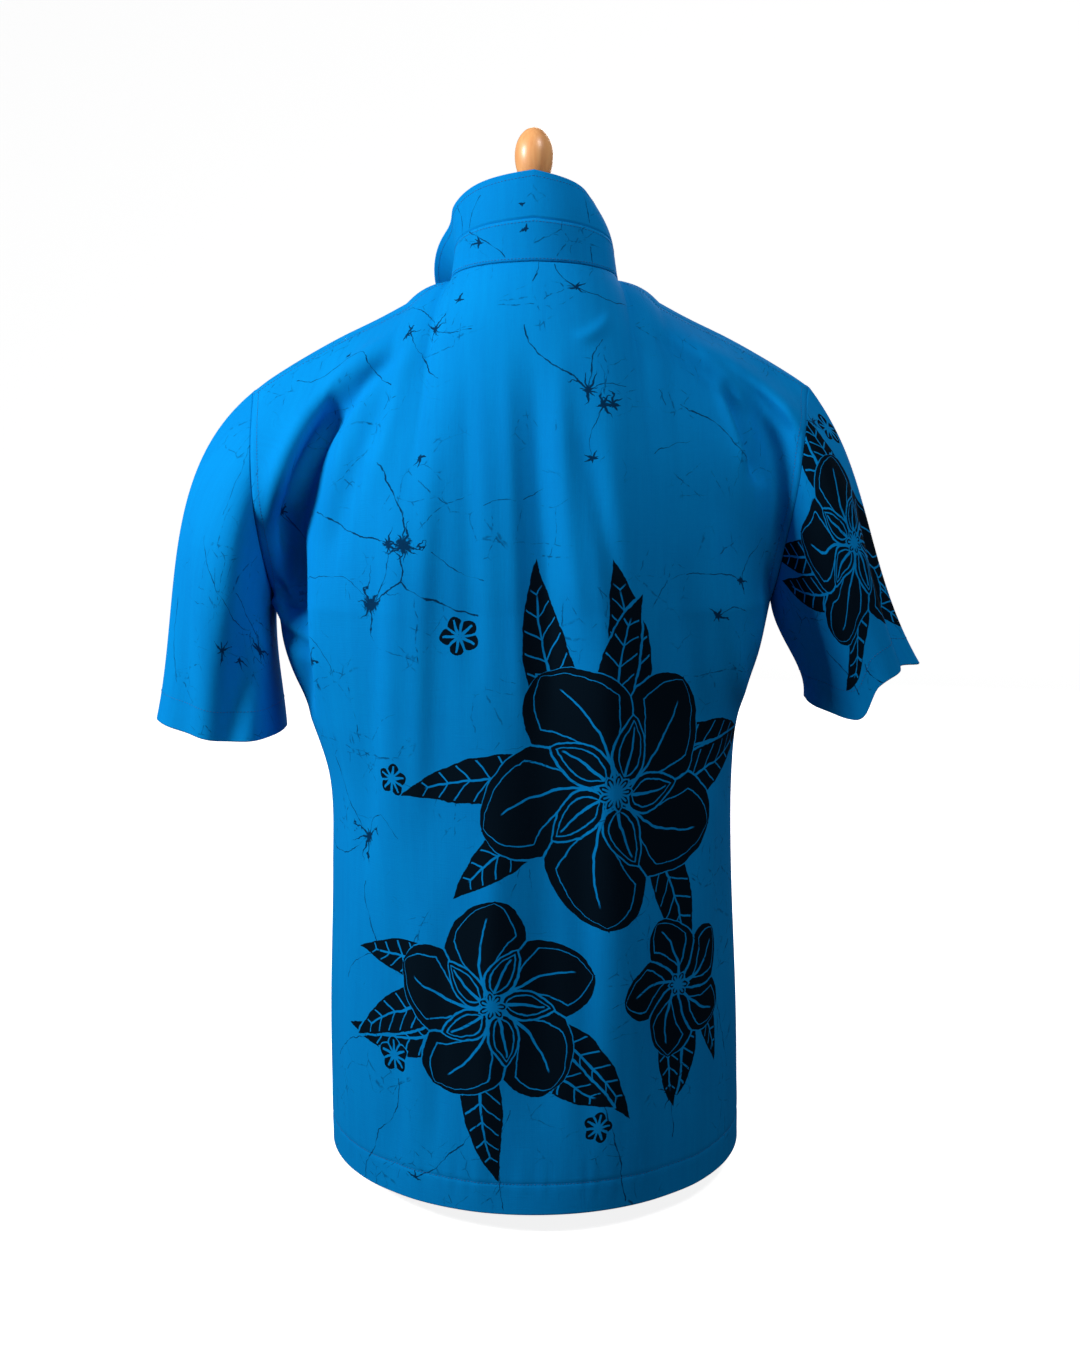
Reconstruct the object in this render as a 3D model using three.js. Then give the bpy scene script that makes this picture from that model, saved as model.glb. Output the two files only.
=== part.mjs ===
// A short-sleeved batik shirt, buttoned down the front with its collar turned up, on a limbless
// tabletop dress form. Millimetres, +Z up. The wearer faces -Y, so the wearer's left is +X.
// The origin is on the table, at the middle of the form's base board.
// "up" is a height above the shirt's hem, and angles round the neck start at the nape.

import * as THREE from "three";
import { mergeVertices } from "three/addons/utils/BufferGeometryUtils.js";

const HEM_Z = 20; // the hem hangs this far above the table
const CLOTH = 1.5; // wall of one layer of cloth, with its seam allowances
const COLLAR_CLOTH = 2; // two layers and an interlining
const SEAM_GAP = 0.6; // between two pieces that are sewn to each other
const ARMPIT_UP = 485;

// Half widths and depths of the shirt's body by height above the hem.
const BODY_SECTIONS = [
  { up: 0, left: 184, right: 185, back: 168, front: 150 },
  { up: 120, left: 184, right: 182, back: 162, front: 147 },
  { up: 250, left: 180, right: 176, back: 156, front: 144 },
  { up: 330, left: 181, right: 175, back: 152, front: 142 },
  { up: 390, left: 199, right: 180, back: 149, front: 138 },
  { up: 440, left: 217, right: 196, back: 147, front: 135 },
  { up: 485, left: 226, right: 206, back: 145, front: 132 },
];

// The ridge of the shoulders: height above the hem by distance from the centre.
const SHOULDER_RIDGE = [
  { out: 70, up: 754 },
  { out: 84, up: 747 },
  { out: 126, up: 725 },
  { out: 163, up: 708 },
  { out: 196, up: 691 },
  { out: 226, up: 674 },
  { out: 242, up: 663 },
];
const SHOULDER_TIP = { left: 240, right: 234 };
const SHOULDER_SEAM_Y = 9; // the seam lies a little behind the ridge
const ARMHOLE_SWING = 33; // how far each armhole edge draws back from the side, in degrees
const ARMHOLE_CROWN = 14; // how far it spreads at the shoulder's tip
const ARMHOLE_EASE = { centre: 1.6, edge: 0.75 }; // how soon the swing starts above the armpit
const SHOULDER_NORMAL = { out: 0.38, back: 0.59, up: 0.71 };

const NECK = { radius: 71, centreY: 3, back: 67, front: 85, share: 0.36 };
const NECK_SEAM_ANGLE = 82; // where the shoulder seam meets the neck
const NECK_EDGE_ANGLE = 173.5; // where each front edge meets the collar

// How each panel bends on its way up from the armpit, at its centre and at the shoulder.
const BEND = {
  back: { centre: 64, shoulder: 78 },
  front: { centre: 48, shoulder: 100 },
};
const FRONT_OVERLAP = 0.05; // how far a front runs past the centre, as a share of its width
const UNDER_LAP = 3.6; // how far the right front lies under the left one

// The largest folds. A fold runs from (x0, up0) to (x1, up1), bows sideways by "bow", and stands
// out by "depth", or goes in if that is negative. "width" is how far its slopes reach.
const BACK_FOLDS = [
  { x0: 150, up0: 690, x1: 204, up1: 470, bow: 14, depth: -26, width: 16 },
  { x0: 108, up0: 716, x1: 216, up1: 560, bow: 16, depth: 11, width: 15 },
  { x0: -112, up0: 716, x1: -226, up1: 628, bow: -8, depth: 9, width: 14 },
  { x0: -178, up0: 672, x1: -196, up1: 470, bow: -14, depth: -18, width: 16 },
  { x0: 95, up0: 640, x1: 116, up1: 280, bow: 10, depth: 6, width: 26 },
  { x0: 14, up0: 700, x1: -6, up1: 60, bow: -14, depth: -6, width: 28 },
  { x0: -62, up0: 690, x1: -84, up1: 120, bow: 12, depth: 5, width: 26 },
  { x0: -124, up0: 600, x1: -116, up1: 40, bow: 8, depth: -6, width: 26 },
];
const FRONT_FOLDS = [
  { x0: 166, up0: 668, x1: 200, up1: 470, bow: 12, depth: -18, width: 17 },
  { x0: -166, up0: 668, x1: -190, up1: 475, bow: -12, depth: -17, width: 17 },
  { x0: 102, up0: 640, x1: 112, up1: 90, bow: 12, depth: -7, width: 26 },
  { x0: -98, up0: 650, x1: -112, up1: 70, bow: -10, depth: -7, width: 26 },
];

// Each sleeve's hem, how far its outer edge is lifted for each millimetre outwards, and the
// directions in which the cloth leaves the armhole and comes to the hem.
const SLEEVES = {
  left: {
    sign: 1,
    hem: { x: 276, y: 2, up: 379, across: 56, deep: 65, lift: 0.08 },
    leave: { out: 0.78, down: 0.62 },
    arrive: { out: 0.24, down: 0.97 },
  },
  right: {
    sign: -1,
    hem: { x: 288, y: 2, up: 414, across: 49, deep: 69, lift: 0.34 },
    leave: { out: 0.62, down: 0.78 },
    arrive: { out: 0.52, down: 0.85 },
  },
};

// How far each sleeve's hem hangs below its slanting line, by turns round it.
const HEM_SAG = {
  left: [
    { turn: 0, drop: 2 },
    { turn: 0.12, drop: 6 },
    { turn: 0.22, drop: 8 },
    { turn: 0.32, drop: 4 },
    { turn: 0.42, drop: 0 },
    { turn: 1, drop: 2 },
  ],
  right: [
    { turn: 0, drop: -1 },
    { turn: 0.09, drop: 6 },
    { turn: 0.17, drop: 17 },
    { turn: 0.215, drop: 17 },
    { turn: 0.25, drop: -4 },
    { turn: 0.35, drop: -7 },
    { turn: 0.5, drop: 0 },
    { turn: 1, drop: -1 },
  ],
};

// Folds of the sleeves. "turn" is a share of one turn round the sleeve, from the underarm by the
// back, and "along" a share of its length from the armhole.
const SLEEVE_FOLDS = {
  left: [
    { turn0: 0.12, along0: 0.2, turn1: 0.2, along1: 1.1, depth: -9, width: 0.05 },
    { turn0: 0.06, along0: 0.1, turn1: 0.12, along1: 0.7, depth: 7, width: 0.04 },
    { turn0: 0.36, along0: 0.4, turn1: 0.31, along1: 1.1, depth: -7, width: 0.05 },
    { turn0: 0.72, along0: 0.3, turn1: 0.76, along1: 1.1, depth: -8, width: 0.06 },
  ],
  right: [
    { turn0: 0.42, along0: 0.2, turn1: 0.37, along1: 1.1, depth: -15, width: 0.05 },
    { turn0: 0.1, along0: 0.2, turn1: 0.14, along1: 0.9, depth: -6, width: 0.05 },
    { turn0: 0.72, along0: 0.3, turn1: 0.75, along1: 1.1, depth: -8, width: 0.06 },
  ],
};

// The collar by angle from the nape: the neck seam's height above the hem, the stand's height,
// the leaf's width, and how far the leaf leans out from upright on each side.
const COLLAR_ROWS = [
  { angle: 0, seam: 764, stand: 34, leaf: 40, left: -13, right: -13 },
  { angle: 45, seam: 762, stand: 30.5, leaf: 37, left: -8, right: -20 },
  { angle: 82, seam: 756, stand: 27, leaf: 33, left: 2, right: -29 },
  { angle: 105, seam: 742, stand: 27, leaf: 36, left: 18, right: -20 },
  { angle: 130, seam: 718, stand: 27, leaf: 55, left: 86, right: 6 },
  { angle: 155, seam: 698, stand: 26, leaf: 66, left: 96, right: 34 },
  { angle: 173.5, seam: 690, stand: 25, leaf: 74, left: 98, right: 42 },
];
const LEAF_END_ANGLE = 167;
const COLLAR_POINT = 24; // how far each point reaches past the leaf's root, round the neck
const STAND_LEAN = 4; // how far the stand leans in

const BUTTON = { radius: 5.7, thick: 2.8, rim: 1.4, sink: 0.7, clear: 0.6 };
const BUTTON_UPS = [610, 515, 420, 325, 230, 135];

// The form by height above the hem: half width, and the depths behind and in front.
const FORM_SECTIONS = [
  { up: -1.5, across: 146, back: 108, front: 98 },
  { up: 90, across: 150, back: 112, front: 100 },
  { up: 240, across: 138, back: 102, front: 94 },
  { up: 360, across: 148, back: 108, front: 100 },
  { up: 480, across: 168, back: 116, front: 106 },
  { up: 560, across: 178, back: 106, front: 98 },
  { up: 610, across: 184, back: 88, front: 84 },
  { up: 645, across: 180, back: 68, front: 68 },
  { up: 670, across: 160, back: 54, front: 58 },
  { up: 690, across: 128, back: 46, front: 54 },
  { up: 708, across: 92, back: 43, front: 53 },
  { up: 724, across: 66, back: 43, front: 52 },
  { up: 740, across: 54, back: 44, front: 52 },
  { up: 790, across: 51, back: 46, front: 52 },
];
const FORM_BASE = { thick: 18, across: 138, deep: 96, round: 3 };
const FORM_GAP = 0.5;
const NECK_CAP = { thick: 9, across: 47, deep: 45, round: 2, y: -3 };
const KNOB = { y: -2, top: 883, radius: 16.5, upper: 23, lower: 27, stem: 9 };

const SEAM_SIDE = 0.85; // the folds die out beyond this share of a panel's width, below the armhole
const SLEEVE_REACH = 0.36; // how far the pull of the armhole and of the hem goes along a sleeve

const { clamp, degToRad: rad, lerp, smoothstep } = THREE.MathUtils;

// Reads one column of a table at "at", smoothly between its rows.
function read(rows, key, at, column) {
  const last = rows.length - 1;
  const x = clamp(at, rows[0][key], rows[last][key]);
  let i = 0;
  while (i < last - 1 && x > rows[i + 1][key]) i++;
  const slope = (k) => {
    const before = rows[Math.max(k - 1, 0)];
    const after = rows[Math.min(k + 1, last)];
    return (after[column] - before[column]) / (after[key] - before[key]);
  };
  const span = rows[i + 1][key] - rows[i][key];
  const t = (x - rows[i][key]) / span;
  const near = (1 + 2 * t) * rows[i][column] + t * span * slope(i);
  const far = (3 - 2 * t) * rows[i + 1][column] - (1 - t) * span * slope(i + 1);
  return (1 - t) ** 2 * near + t ** 2 * far;
}

// How far a set of folds moves the cloth at a place given as (across, up).
function foldAt(folds, across, up) {
  let sum = 0;
  for (const fold of folds) {
    const dx = fold.x1 - fold.x0;
    const du = fold.up1 - fold.up0;
    const length = Math.hypot(dx, du);
    const t = ((across - fold.x0) * dx + (up - fold.up0) * du) / length ** 2;
    const straight = ((across - fold.x0) * -du + (up - fold.up0) * dx) / length;
    const off = straight - 4 * fold.bow * clamp(t, 0, 1) * (1 - clamp(t, 0, 1));
    const ends = smoothstep(t, -0.1, 0.3) * (1 - smoothstep(t, 0.8, 1.12));
    sum += fold.depth * ends * Math.exp(-((off / fold.width) ** 2));
  }
  return sum;
}

// A point of the neck seam, on the wearer's left.
function neckPoint(angle) {
  const cosine = Math.cos(rad(angle));
  const y = NECK.centreY + cosine * (cosine > 0 ? NECK.back : NECK.front);
  const up = read(COLLAR_ROWS, "angle", angle, "seam");
  return new THREE.Vector3(NECK.radius * Math.sin(rad(angle)), y, up);
}

// The angle round the neck at which a panel's column s ends.
function neckAngle(panel, s) {
  if (panel === "back") return (NECK_SEAM_ANGLE * s) / NECK.share;
  const share = (NECK.share - s) / (NECK.share + FRONT_OVERLAP);
  return lerp(NECK_SEAM_ANGLE, NECK_EDGE_ANGLE, share);
}

// Where a panel's column s ends, in the neck seam or in the shoulder seam.
function topPoint(panel, width, s) {
  if (s <= NECK.share) return neckPoint(neckAngle(panel, s));
  const neck = neckPoint(NECK_SEAM_ANGLE);
  const out = (s - NECK.share) / (1 - NECK.share);
  const x = lerp(neck.x, SHOULDER_TIP[width], out);
  const ridge = read(SHOULDER_RIDGE, "out", x, "up") - 1;
  const up = lerp(neck.z, ridge, clamp(out * 5, 0, 1));
  return new THREE.Vector3(x, lerp(neck.y, SHOULDER_SEAM_Y, Math.min(out * 2, 1)), up);
}

// A point of the body's cloth. hand is 1 for the wearer's left, s runs from the centre (0) to
// the side seam or the armhole (1), and v from the hem (0) to the armpit (1) and the top (2).
function bodyPoint(panel, hand, s, v) {
  const side = panel === "back" ? 1 : -1;
  const width = hand > 0 ? "left" : "right";
  const low = Math.min(v, 1) * ARMPIT_UP;
  const w = Math.max(v - 1, 0);
  const opened = (power) => ARMHOLE_SWING * Math.max(Math.sin(Math.PI * w), 0) ** power;
  const edge = rad(90 - opened(ARMHOLE_EASE.edge));
  const around = rad(90 - s * opened(lerp(ARMHOLE_EASE.centre, ARMHOLE_EASE.edge, s * s)));
  const half = read(BODY_SECTIONS, "up", low, width);
  const top = topPoint(panel, width, s);
  const held = panel === "back" ? 1 : 1 + 2 * clamp(1 - s / NECK.share, 0, 1);
  const reach = (half * Math.sin(s * around)) / lerp(1, Math.sin(edge), s ** 6);
  const x = lerp(reach, top.x, w ** held);
  const depth = side * read(BODY_SECTIONS, "up", low, panel) * Math.cos(s * around);
  const bend = rad(lerp(BEND[panel].centre, BEND[panel].shoulder, smoothstep(s, 0, 0.5)));
  const back = (Math.cos(w * bend) - Math.cos(bend)) / (1 - Math.cos(bend));
  const up = w > 0 ? lerp(low, top.z, Math.sin(w * bend) / Math.sin(bend)) : low;
  const atSide = smoothstep(s, SEAM_SIDE, 1) * (1 - smoothstep(v, 1, 1.25));
  const free = (1 - smoothstep(v, 1.7, 2)) * (1 - atSide);
  const fold = free * foldAt(side > 0 ? BACK_FOLDS : FRONT_FOLDS, hand * x, up);
  const crown = ARMHOLE_CROWN * w * s ** 4 * Math.max(Math.sin(Math.PI * w), 0) ** 0.6;
  const under = panel === "front" && hand < 0 ? UNDER_LAP * (1 - smoothstep(s, 0.1, 0.22)) : 0;
  const y = lerp(top.y, depth, back) + side * (fold + crown + SEAM_GAP / 2) + under;
  return new THREE.Vector3(hand * x, y, HEM_Z + up);
}

// A point of a sleeve. turn runs once round it from the underarm by the back, along from the
// armhole (0) to the hem (1).
function sleevePoint(width, turn, along) {
  const { sign, hem, leave, arrive } = SLEEVES[width];
  const angle = 2 * Math.PI * turn;
  const over = (1 - Math.cos(angle)) / 2;
  const start = bodyPoint(turn <= 0.5 ? "back" : "front", sign, 1, 1 + over);
  start.x += sign * SEAM_GAP * (1.3 + over);
  const out = -hem.across * Math.cos(angle);
  const end = new THREE.Vector3(
    sign * (hem.x + out),
    hem.y + hem.deep * Math.sin(angle),
    HEM_Z + hem.up + hem.lift * out - read(HEM_SAG[width], "turn", turn, "drop")
  );
  const reach = SLEEVE_REACH * start.distanceTo(end);
  const away = lerp(0.12, leave.out, over);
  const first = new THREE.Vector3(sign * away, 0.25 * Math.sin(angle), -lerp(1, leave.down, over));
  const last = new THREE.Vector3(sign * lerp(-0.06, arrive.out, over), 0, -arrive.down);
  const curve = new THREE.CubicBezierCurve3(
    start,
    start.clone().addScaledVector(first, reach),
    end.clone().addScaledVector(last, -reach),
    end
  );
  const point = curve.getPoint(along);
  const middle = bodyPoint("back", sign, 1, 1.5).setY(0).lerp(
    new THREE.Vector3(sign * hem.x, hem.y, HEM_Z + hem.up),
    along
  );
  const outward = point.clone().sub(middle).setZ(0).normalize();
  return point.addScaledVector(outward, sleeveFold(SLEEVE_FOLDS[width], turn, along));
}

// How far a sleeve's folds move its cloth outwards.
function sleeveFold(folds, turn, along) {
  let sum = 0;
  for (const fold of folds) {
    const t = (along - fold.along0) / (fold.along1 - fold.along0);
    const off = turn - lerp(fold.turn0, fold.turn1, t);
    sum += fold.depth * smoothstep(t, 0, 0.6) * Math.exp(-((off / fold.width) ** 2));
  }
  return sum;
}

// A point of the collar's stand, from the neck seam (rise 0) to the leaf (rise 1).
function standPoint(angle, rise) {
  const turn = Math.abs(angle);
  const point = neckPoint(turn);
  const inward = new THREE.Vector3(-point.x, NECK.centreY - point.y, 0).normalize();
  point.addScaledVector(inward, STAND_LEAN * rise);
  point.z += HEM_Z + 1.5 * SEAM_GAP + rise * read(COLLAR_ROWS, "angle", turn, "stand");
  point.x *= Math.sign(angle) || 1;
  return point;
}

// A point of the collar's leaf, from the stand (rise 0) to its free edge (rise 1).
function leafPoint(share, rise) {
  const angle = share * LEAF_END_ANGLE;
  const turn = Math.abs(angle);
  const root = standPoint(angle, 1);
  const outward = new THREE.Vector3(root.x, root.y - NECK.centreY, 0).normalize();
  const forward = new THREE.Vector3(-outward.y, outward.x, 0).multiplyScalar(-Math.sign(angle));
  const lean = rad(read(COLLAR_ROWS, "angle", turn, angle < 0 ? "right" : "left"));
  const bent = lean * (0.35 + 0.65 * rise);
  const width = rise * read(COLLAR_ROWS, "angle", turn, "leaf");
  const point = root.addScaledVector(outward, width * Math.sin(bent));
  point.addScaledVector(forward, COLLAR_POINT * rise * Math.abs(share) ** 5);
  point.z += 1.8 * SEAM_GAP + width * Math.cos(bent);
  return point;
}

// A closed wall of cloth: "outer" gives the points of its outer face, column by column, and the
// inner face lies "wall" behind it. "seam" gives the way in where two pieces must share it. A
// tube's last column is joined to its first.
function clothWall(columns, rows, wall, outer, { tube = false, seam = () => null } = {}) {
  const height = rows.length;
  const points = columns.flatMap((column) => rows.map((row) => outer(column, row)));
  const count = points.length;
  const steps = tube ? columns.length : columns.length - 1;
  const at = (i, j) => (i % columns.length) * height + j;
  const faces = [];
  for (let i = 0; i < steps; i++) {
    for (let j = 0; j < height - 1; j++) {
      faces.push([at(i, j), at(i + 1, j), at(i + 1, j + 1)]);
      faces.push([at(i, j), at(i + 1, j + 1), at(i, j + 1)]);
    }
  }
  const front = new THREE.BufferGeometry().setFromPoints(points);
  front.setIndex(faces.flat());
  front.computeVertexNormals();
  const inner = points.map((point, k) => {
    const shared = seam(columns[Math.floor(k / height)], rows[k % height]);
    const normal = shared ?? new THREE.Vector3().fromBufferAttribute(front.attributes.normal, k);
    return point.clone().addScaledVector(normal, -wall);
  });
  const index = faces.flat();
  for (const [a, b, c] of faces) index.push(count + a, count + c, count + b);
  const rim = (a, b) => index.push(a, count + b, b, a, count + a, count + b);
  for (let i = 0; i < steps; i++) {
    rim(at(i, 0), at(i + 1, 0));
    rim(at(i + 1, height - 1), at(i, height - 1));
  }
  for (let j = 0; j < height - 1 && !tube; j++) {
    rim(at(0, j + 1), at(0, j));
    rim(at(steps, j), at(steps, j + 1));
  }
  const geometry = new THREE.BufferGeometry().setFromPoints([...points, ...inner]);
  geometry.setIndex(index);
  return geometry;
}

// A solid through level rings of points, closed with a flat face at each end.
function ringSolid(rings) {
  const sides = rings[0].length;
  const points = rings.flat();
  const index = [];
  for (let j = 0; j < rings.length - 1; j++) {
    for (let i = 0; i < sides; i++) {
      const a = j * sides + i;
      const b = j * sides + ((i + 1) % sides);
      index.push(a, b, b + sides, a, b + sides, a + sides);
    }
  }
  const top = (rings.length - 1) * sides;
  for (let i = 1; i < sides - 1; i++) {
    index.push(0, i + 1, i);
    index.push(top, top + i, top + i + 1);
  }
  const geometry = new THREE.BufferGeometry().setFromPoints(points);
  geometry.setIndex(index);
  return geometry;
}

const spread = (from, to, steps) =>
  Array.from({ length: steps + 1 }, (_, i) => lerp(from, to, i / steps));

// The columns and rows that neighbouring pieces share along their seams.
const NECK_COLUMNS = spread(0, NECK.share, 5);
const SHOULDER_COLUMNS = spread(NECK.share, 1, 11).slice(1);
const HALF_COLUMNS = [...NECK_COLUMNS, ...SHOULDER_COLUMNS];
const LOW_ROWS = spread(0, 1, 8).slice(0, -1);
const HIGH_TURNS = spread(0, 0.5, 12);
const HIGH_ROWS = HIGH_TURNS.map((turn) => 1 + (1 - Math.cos(2 * Math.PI * turn)) / 2);
const BODY_ROWS = [...LOW_ROWS, ...HIGH_ROWS];

// The way out of the cloth at the side and shoulder seams, which the back and a front share.
function seamNormal(hand, s, v) {
  const { out, back, up } = SHOULDER_NORMAL;
  if (v === 2 && s >= NECK.share) return new THREE.Vector3(hand * out, back, up);
  return v <= 1 && s === 1 ? new THREE.Vector3(hand, 0, 0) : null;
}

function backGeometry() {
  const left = HALF_COLUMNS.map((s) => ({ hand: 1, s })).reverse();
  const right = HALF_COLUMNS.slice(1).map((s) => ({ hand: -1, s }));
  const outer = ({ hand, s }, v) => bodyPoint("back", hand, s, v);
  const seam = ({ hand, s }, v) => seamNormal(hand, s, v);
  return clothWall([...left, ...right], BODY_ROWS, CLOTH, outer, { seam });
}

function frontGeometry(hand) {
  const columns = [-FRONT_OVERLAP, -FRONT_OVERLAP / 2, ...HALF_COLUMNS];
  if (hand < 0) columns.reverse();
  const outer = (s, v) => bodyPoint("front", hand, s, v);
  const seam = (s, v) => seamNormal(hand, s, v);
  return clothWall(columns, BODY_ROWS, CLOTH, outer, { seam });
}

function sleeveGeometry(width) {
  const turns = [...HIGH_TURNS, ...HIGH_TURNS.slice(1, -1).reverse().map((turn) => 1 - turn)];
  if (width === "left") turns.reverse();
  const rows = spread(1, 0, 7);
  const outer = (turn, along) => sleevePoint(width, turn, along);
  return clothWall(turns, rows, CLOTH, outer, { tube: true });
}

function collarAngles() {
  const back = NECK_COLUMNS.map((s) => neckAngle("back", s));
  const front = [...NECK_COLUMNS.slice(0, -1), -FRONT_OVERLAP / 2, -FRONT_OVERLAP]
    .sort((a, b) => b - a)
    .map((s) => neckAngle("front", s));
  const left = [...back, ...front];
  return [...left.slice(1).reverse(), ...left.map((angle) => -angle)];
}

function standGeometry() {
  return clothWall(collarAngles(), spread(0, 1, 2), COLLAR_CLOTH, standPoint);
}

function leafGeometry() {
  return clothWall(spread(1, -1, 40), spread(0, 1, 4), COLLAR_CLOTH, leafPoint);
}

// The place on the left front's centre line at a height, and the way out of the cloth there.
function frontPlace(up) {
  const bend = rad(BEND.front.centre);
  const top = topPoint("front", "left", 0).z;
  const share = (up - ARMPIT_UP) / (top - ARMPIT_UP);
  const v = up < ARMPIT_UP ? up / ARMPIT_UP : 1 + Math.asin(share * Math.sin(bend)) / bend;
  const point = bodyPoint("front", 1, 0, v);
  const across = bodyPoint("front", 1, 0.01, v).sub(point);
  const rising = bodyPoint("front", 1, 0, v + 0.01).sub(point);
  return { point, normal: across.cross(rising).normalize() };
}

// A button's face is sunk inside its rim.
function buttonGeometry() {
  const { radius, thick, rim, sink } = BUTTON;
  const profile = [
    new THREE.Vector2(0, 0),
    new THREE.Vector2(radius * 0.85, 0),
    new THREE.Vector2(radius, thick * 0.35),
    new THREE.Vector2(radius - rim * 0.4, thick),
    new THREE.Vector2(radius - rim, thick),
    new THREE.Vector2(radius - rim * 1.4, thick - sink),
    new THREE.Vector2(0, thick - sink),
  ];
  return new THREE.LatheGeometry(profile, 18);
}

// An oval board with rounded edges.
function ovalBoard({ thick, across, deep, round }, y) {
  const shape = new THREE.Shape().absellipse(0, y, across - round, deep - round, 0, 2 * Math.PI);
  const geometry = new THREE.ExtrudeGeometry(shape, {
    depth: thick - 2 * round,
    curveSegments: 18,
    bevelThickness: round,
    bevelSize: round,
    bevelSegments: 2,
  });
  return geometry.translate(0, 0, round);
}

function torsoGeometry() {
  const last = FORM_SECTIONS.length - 1;
  const ups = spread(0, last, last * 2).map((k) => {
    const row = FORM_SECTIONS[Math.floor(k)].up;
    const next = FORM_SECTIONS[Math.min(Math.floor(k) + 1, last)].up;
    return lerp(row, next, k % 1);
  });
  const rings = ups.map((up) => {
    const [across, back, front] = ["across", "back", "front"].map((column) =>
      read(FORM_SECTIONS, "up", up, column)
    );
    return spread(0, 2 * Math.PI, 36).slice(0, -1).map((turn) => {
      const deep = Math.sin(turn) > 0 ? back : front;
      return new THREE.Vector3(across * Math.cos(turn), deep * Math.sin(turn), HEM_Z + up);
    });
  });
  return ringSolid(rings);
}

// An egg on a turned stem: its upper half is shorter than its lower one.
function knobGeometry() {
  const { radius, stem, top, upper, lower } = KNOB;
  const bottom = FORM_SECTIONS.at(-1).up + NECK_CAP.thick + 2 * FORM_GAP;
  const middle = top - upper - bottom;
  const egg = spread(35, 170, 14).map((angle) => {
    const half = angle < 90 ? lower : upper;
    return new THREE.Vector2(radius * Math.sin(rad(angle)), middle - half * Math.cos(rad(angle)));
  });
  const profile = [
    new THREE.Vector2(0, 0),
    new THREE.Vector2(stem + 4, 0),
    new THREE.Vector2(stem + 4, 5),
    new THREE.Vector2(stem, 9),
    ...egg,
    new THREE.Vector2(0, middle + upper),
  ];
  const geometry = new THREE.LatheGeometry(profile, 24).rotateX(Math.PI / 2);
  return geometry.translate(0, KNOB.y, HEM_Z + bottom);
}

const CLOTH_BLUE = { color: 0x0a6fa6, roughness: 0.85, metalness: 0 };
const WOOD = { color: 0xd9a873, roughness: 0.4, metalness: 0 };
const FORM_CLOTH = { color: 0xe6e0d4, roughness: 0.9, metalness: 0 };
const BUTTON_NAVY = { color: 0x10283c, roughness: 0.3, metalness: 0 };

const shirt = new THREE.Group();

function add(name, geometry, finish) {
  for (const attribute of ["normal", "uv"]) geometry.deleteAttribute(attribute);
  const mesh = new THREE.Mesh(mergeVertices(geometry, 1e-3), new THREE.MeshStandardMaterial(finish));
  mesh.name = name;
  shirt.add(mesh);
  return mesh;
}

add("back", backGeometry(), CLOTH_BLUE);
add("front_left", frontGeometry(1), CLOTH_BLUE);
add("front_right", frontGeometry(-1), CLOTH_BLUE);
add("sleeve_left", sleeveGeometry("left"), CLOTH_BLUE);
add("sleeve_right", sleeveGeometry("right"), CLOTH_BLUE);
add("collar_stand", standGeometry(), CLOTH_BLUE);
add("collar_leaf", leafGeometry(), CLOTH_BLUE);

for (const [i, up] of BUTTON_UPS.entries()) {
  const { point, normal } = frontPlace(up);
  const button = add(`button_${i + 1}`, buttonGeometry(), BUTTON_NAVY);
  button.position.copy(point).addScaledVector(normal, BUTTON.clear);
  button.quaternion.setFromUnitVectors(new THREE.Vector3(0, 1, 0), normal);
}

add("form_base", ovalBoard(FORM_BASE, 0), WOOD);
add("form_torso", torsoGeometry(), FORM_CLOTH);
const capZ = HEM_Z + FORM_SECTIONS.at(-1).up + FORM_GAP;
add("form_neck_cap", ovalBoard(NECK_CAP, NECK_CAP.y), WOOD).position.z = capZ;
add("form_knob", knobGeometry(), WOOD);

export default shirt;
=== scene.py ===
"""The looks of a short-sleeved batik shirt on a limbless tabletop dress form.

The shirt's own sizes are in millimetres, as the maker cuts them, and every mesh is in metres. The
wearer faces -Y, so the wearer's left is +X. "up" is a height above the hem, "s" runs across a
panel from the centre (0) to the side (1), and "v" from the hem (0) by the armpit (1) to the top
(2). Angles round the neck start at the nape.
"""

import logging
import math
from collections.abc import Callable
from dataclasses import dataclass, field, replace
from enum import Enum

import bmesh
import bpy
import numpy as np
from mathutils import Matrix, Vector


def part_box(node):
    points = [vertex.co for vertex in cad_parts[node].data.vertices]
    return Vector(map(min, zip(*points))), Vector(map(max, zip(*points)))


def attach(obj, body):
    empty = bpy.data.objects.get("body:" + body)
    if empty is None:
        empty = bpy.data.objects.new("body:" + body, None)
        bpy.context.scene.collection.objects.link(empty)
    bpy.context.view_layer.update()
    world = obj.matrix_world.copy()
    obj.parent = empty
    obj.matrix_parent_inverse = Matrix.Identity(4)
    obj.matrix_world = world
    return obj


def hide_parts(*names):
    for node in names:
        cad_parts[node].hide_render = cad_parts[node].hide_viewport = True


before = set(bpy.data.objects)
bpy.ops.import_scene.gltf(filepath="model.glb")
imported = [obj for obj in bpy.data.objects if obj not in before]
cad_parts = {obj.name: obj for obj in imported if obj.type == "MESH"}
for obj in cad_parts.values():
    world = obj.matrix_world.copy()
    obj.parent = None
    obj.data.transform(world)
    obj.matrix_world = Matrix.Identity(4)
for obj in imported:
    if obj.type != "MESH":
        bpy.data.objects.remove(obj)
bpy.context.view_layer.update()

LOG = logging.getLogger("batik_shirt")
MM = 0.001
Array = np.ndarray
Socket = bpy.types.NodeSocket
Given = Socket | float | tuple
Sockets = bpy.types.NodeInputs | bpy.types.NodeOutputs
Writer = Callable[["Graph", Sockets], dict[str, Socket]]
Spot = tuple[float, float]


# ---------------------------------------------------------------- sizes shared by the pieces

HEM_Z = 20.0
ARMPIT_UP = 485.0

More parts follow.
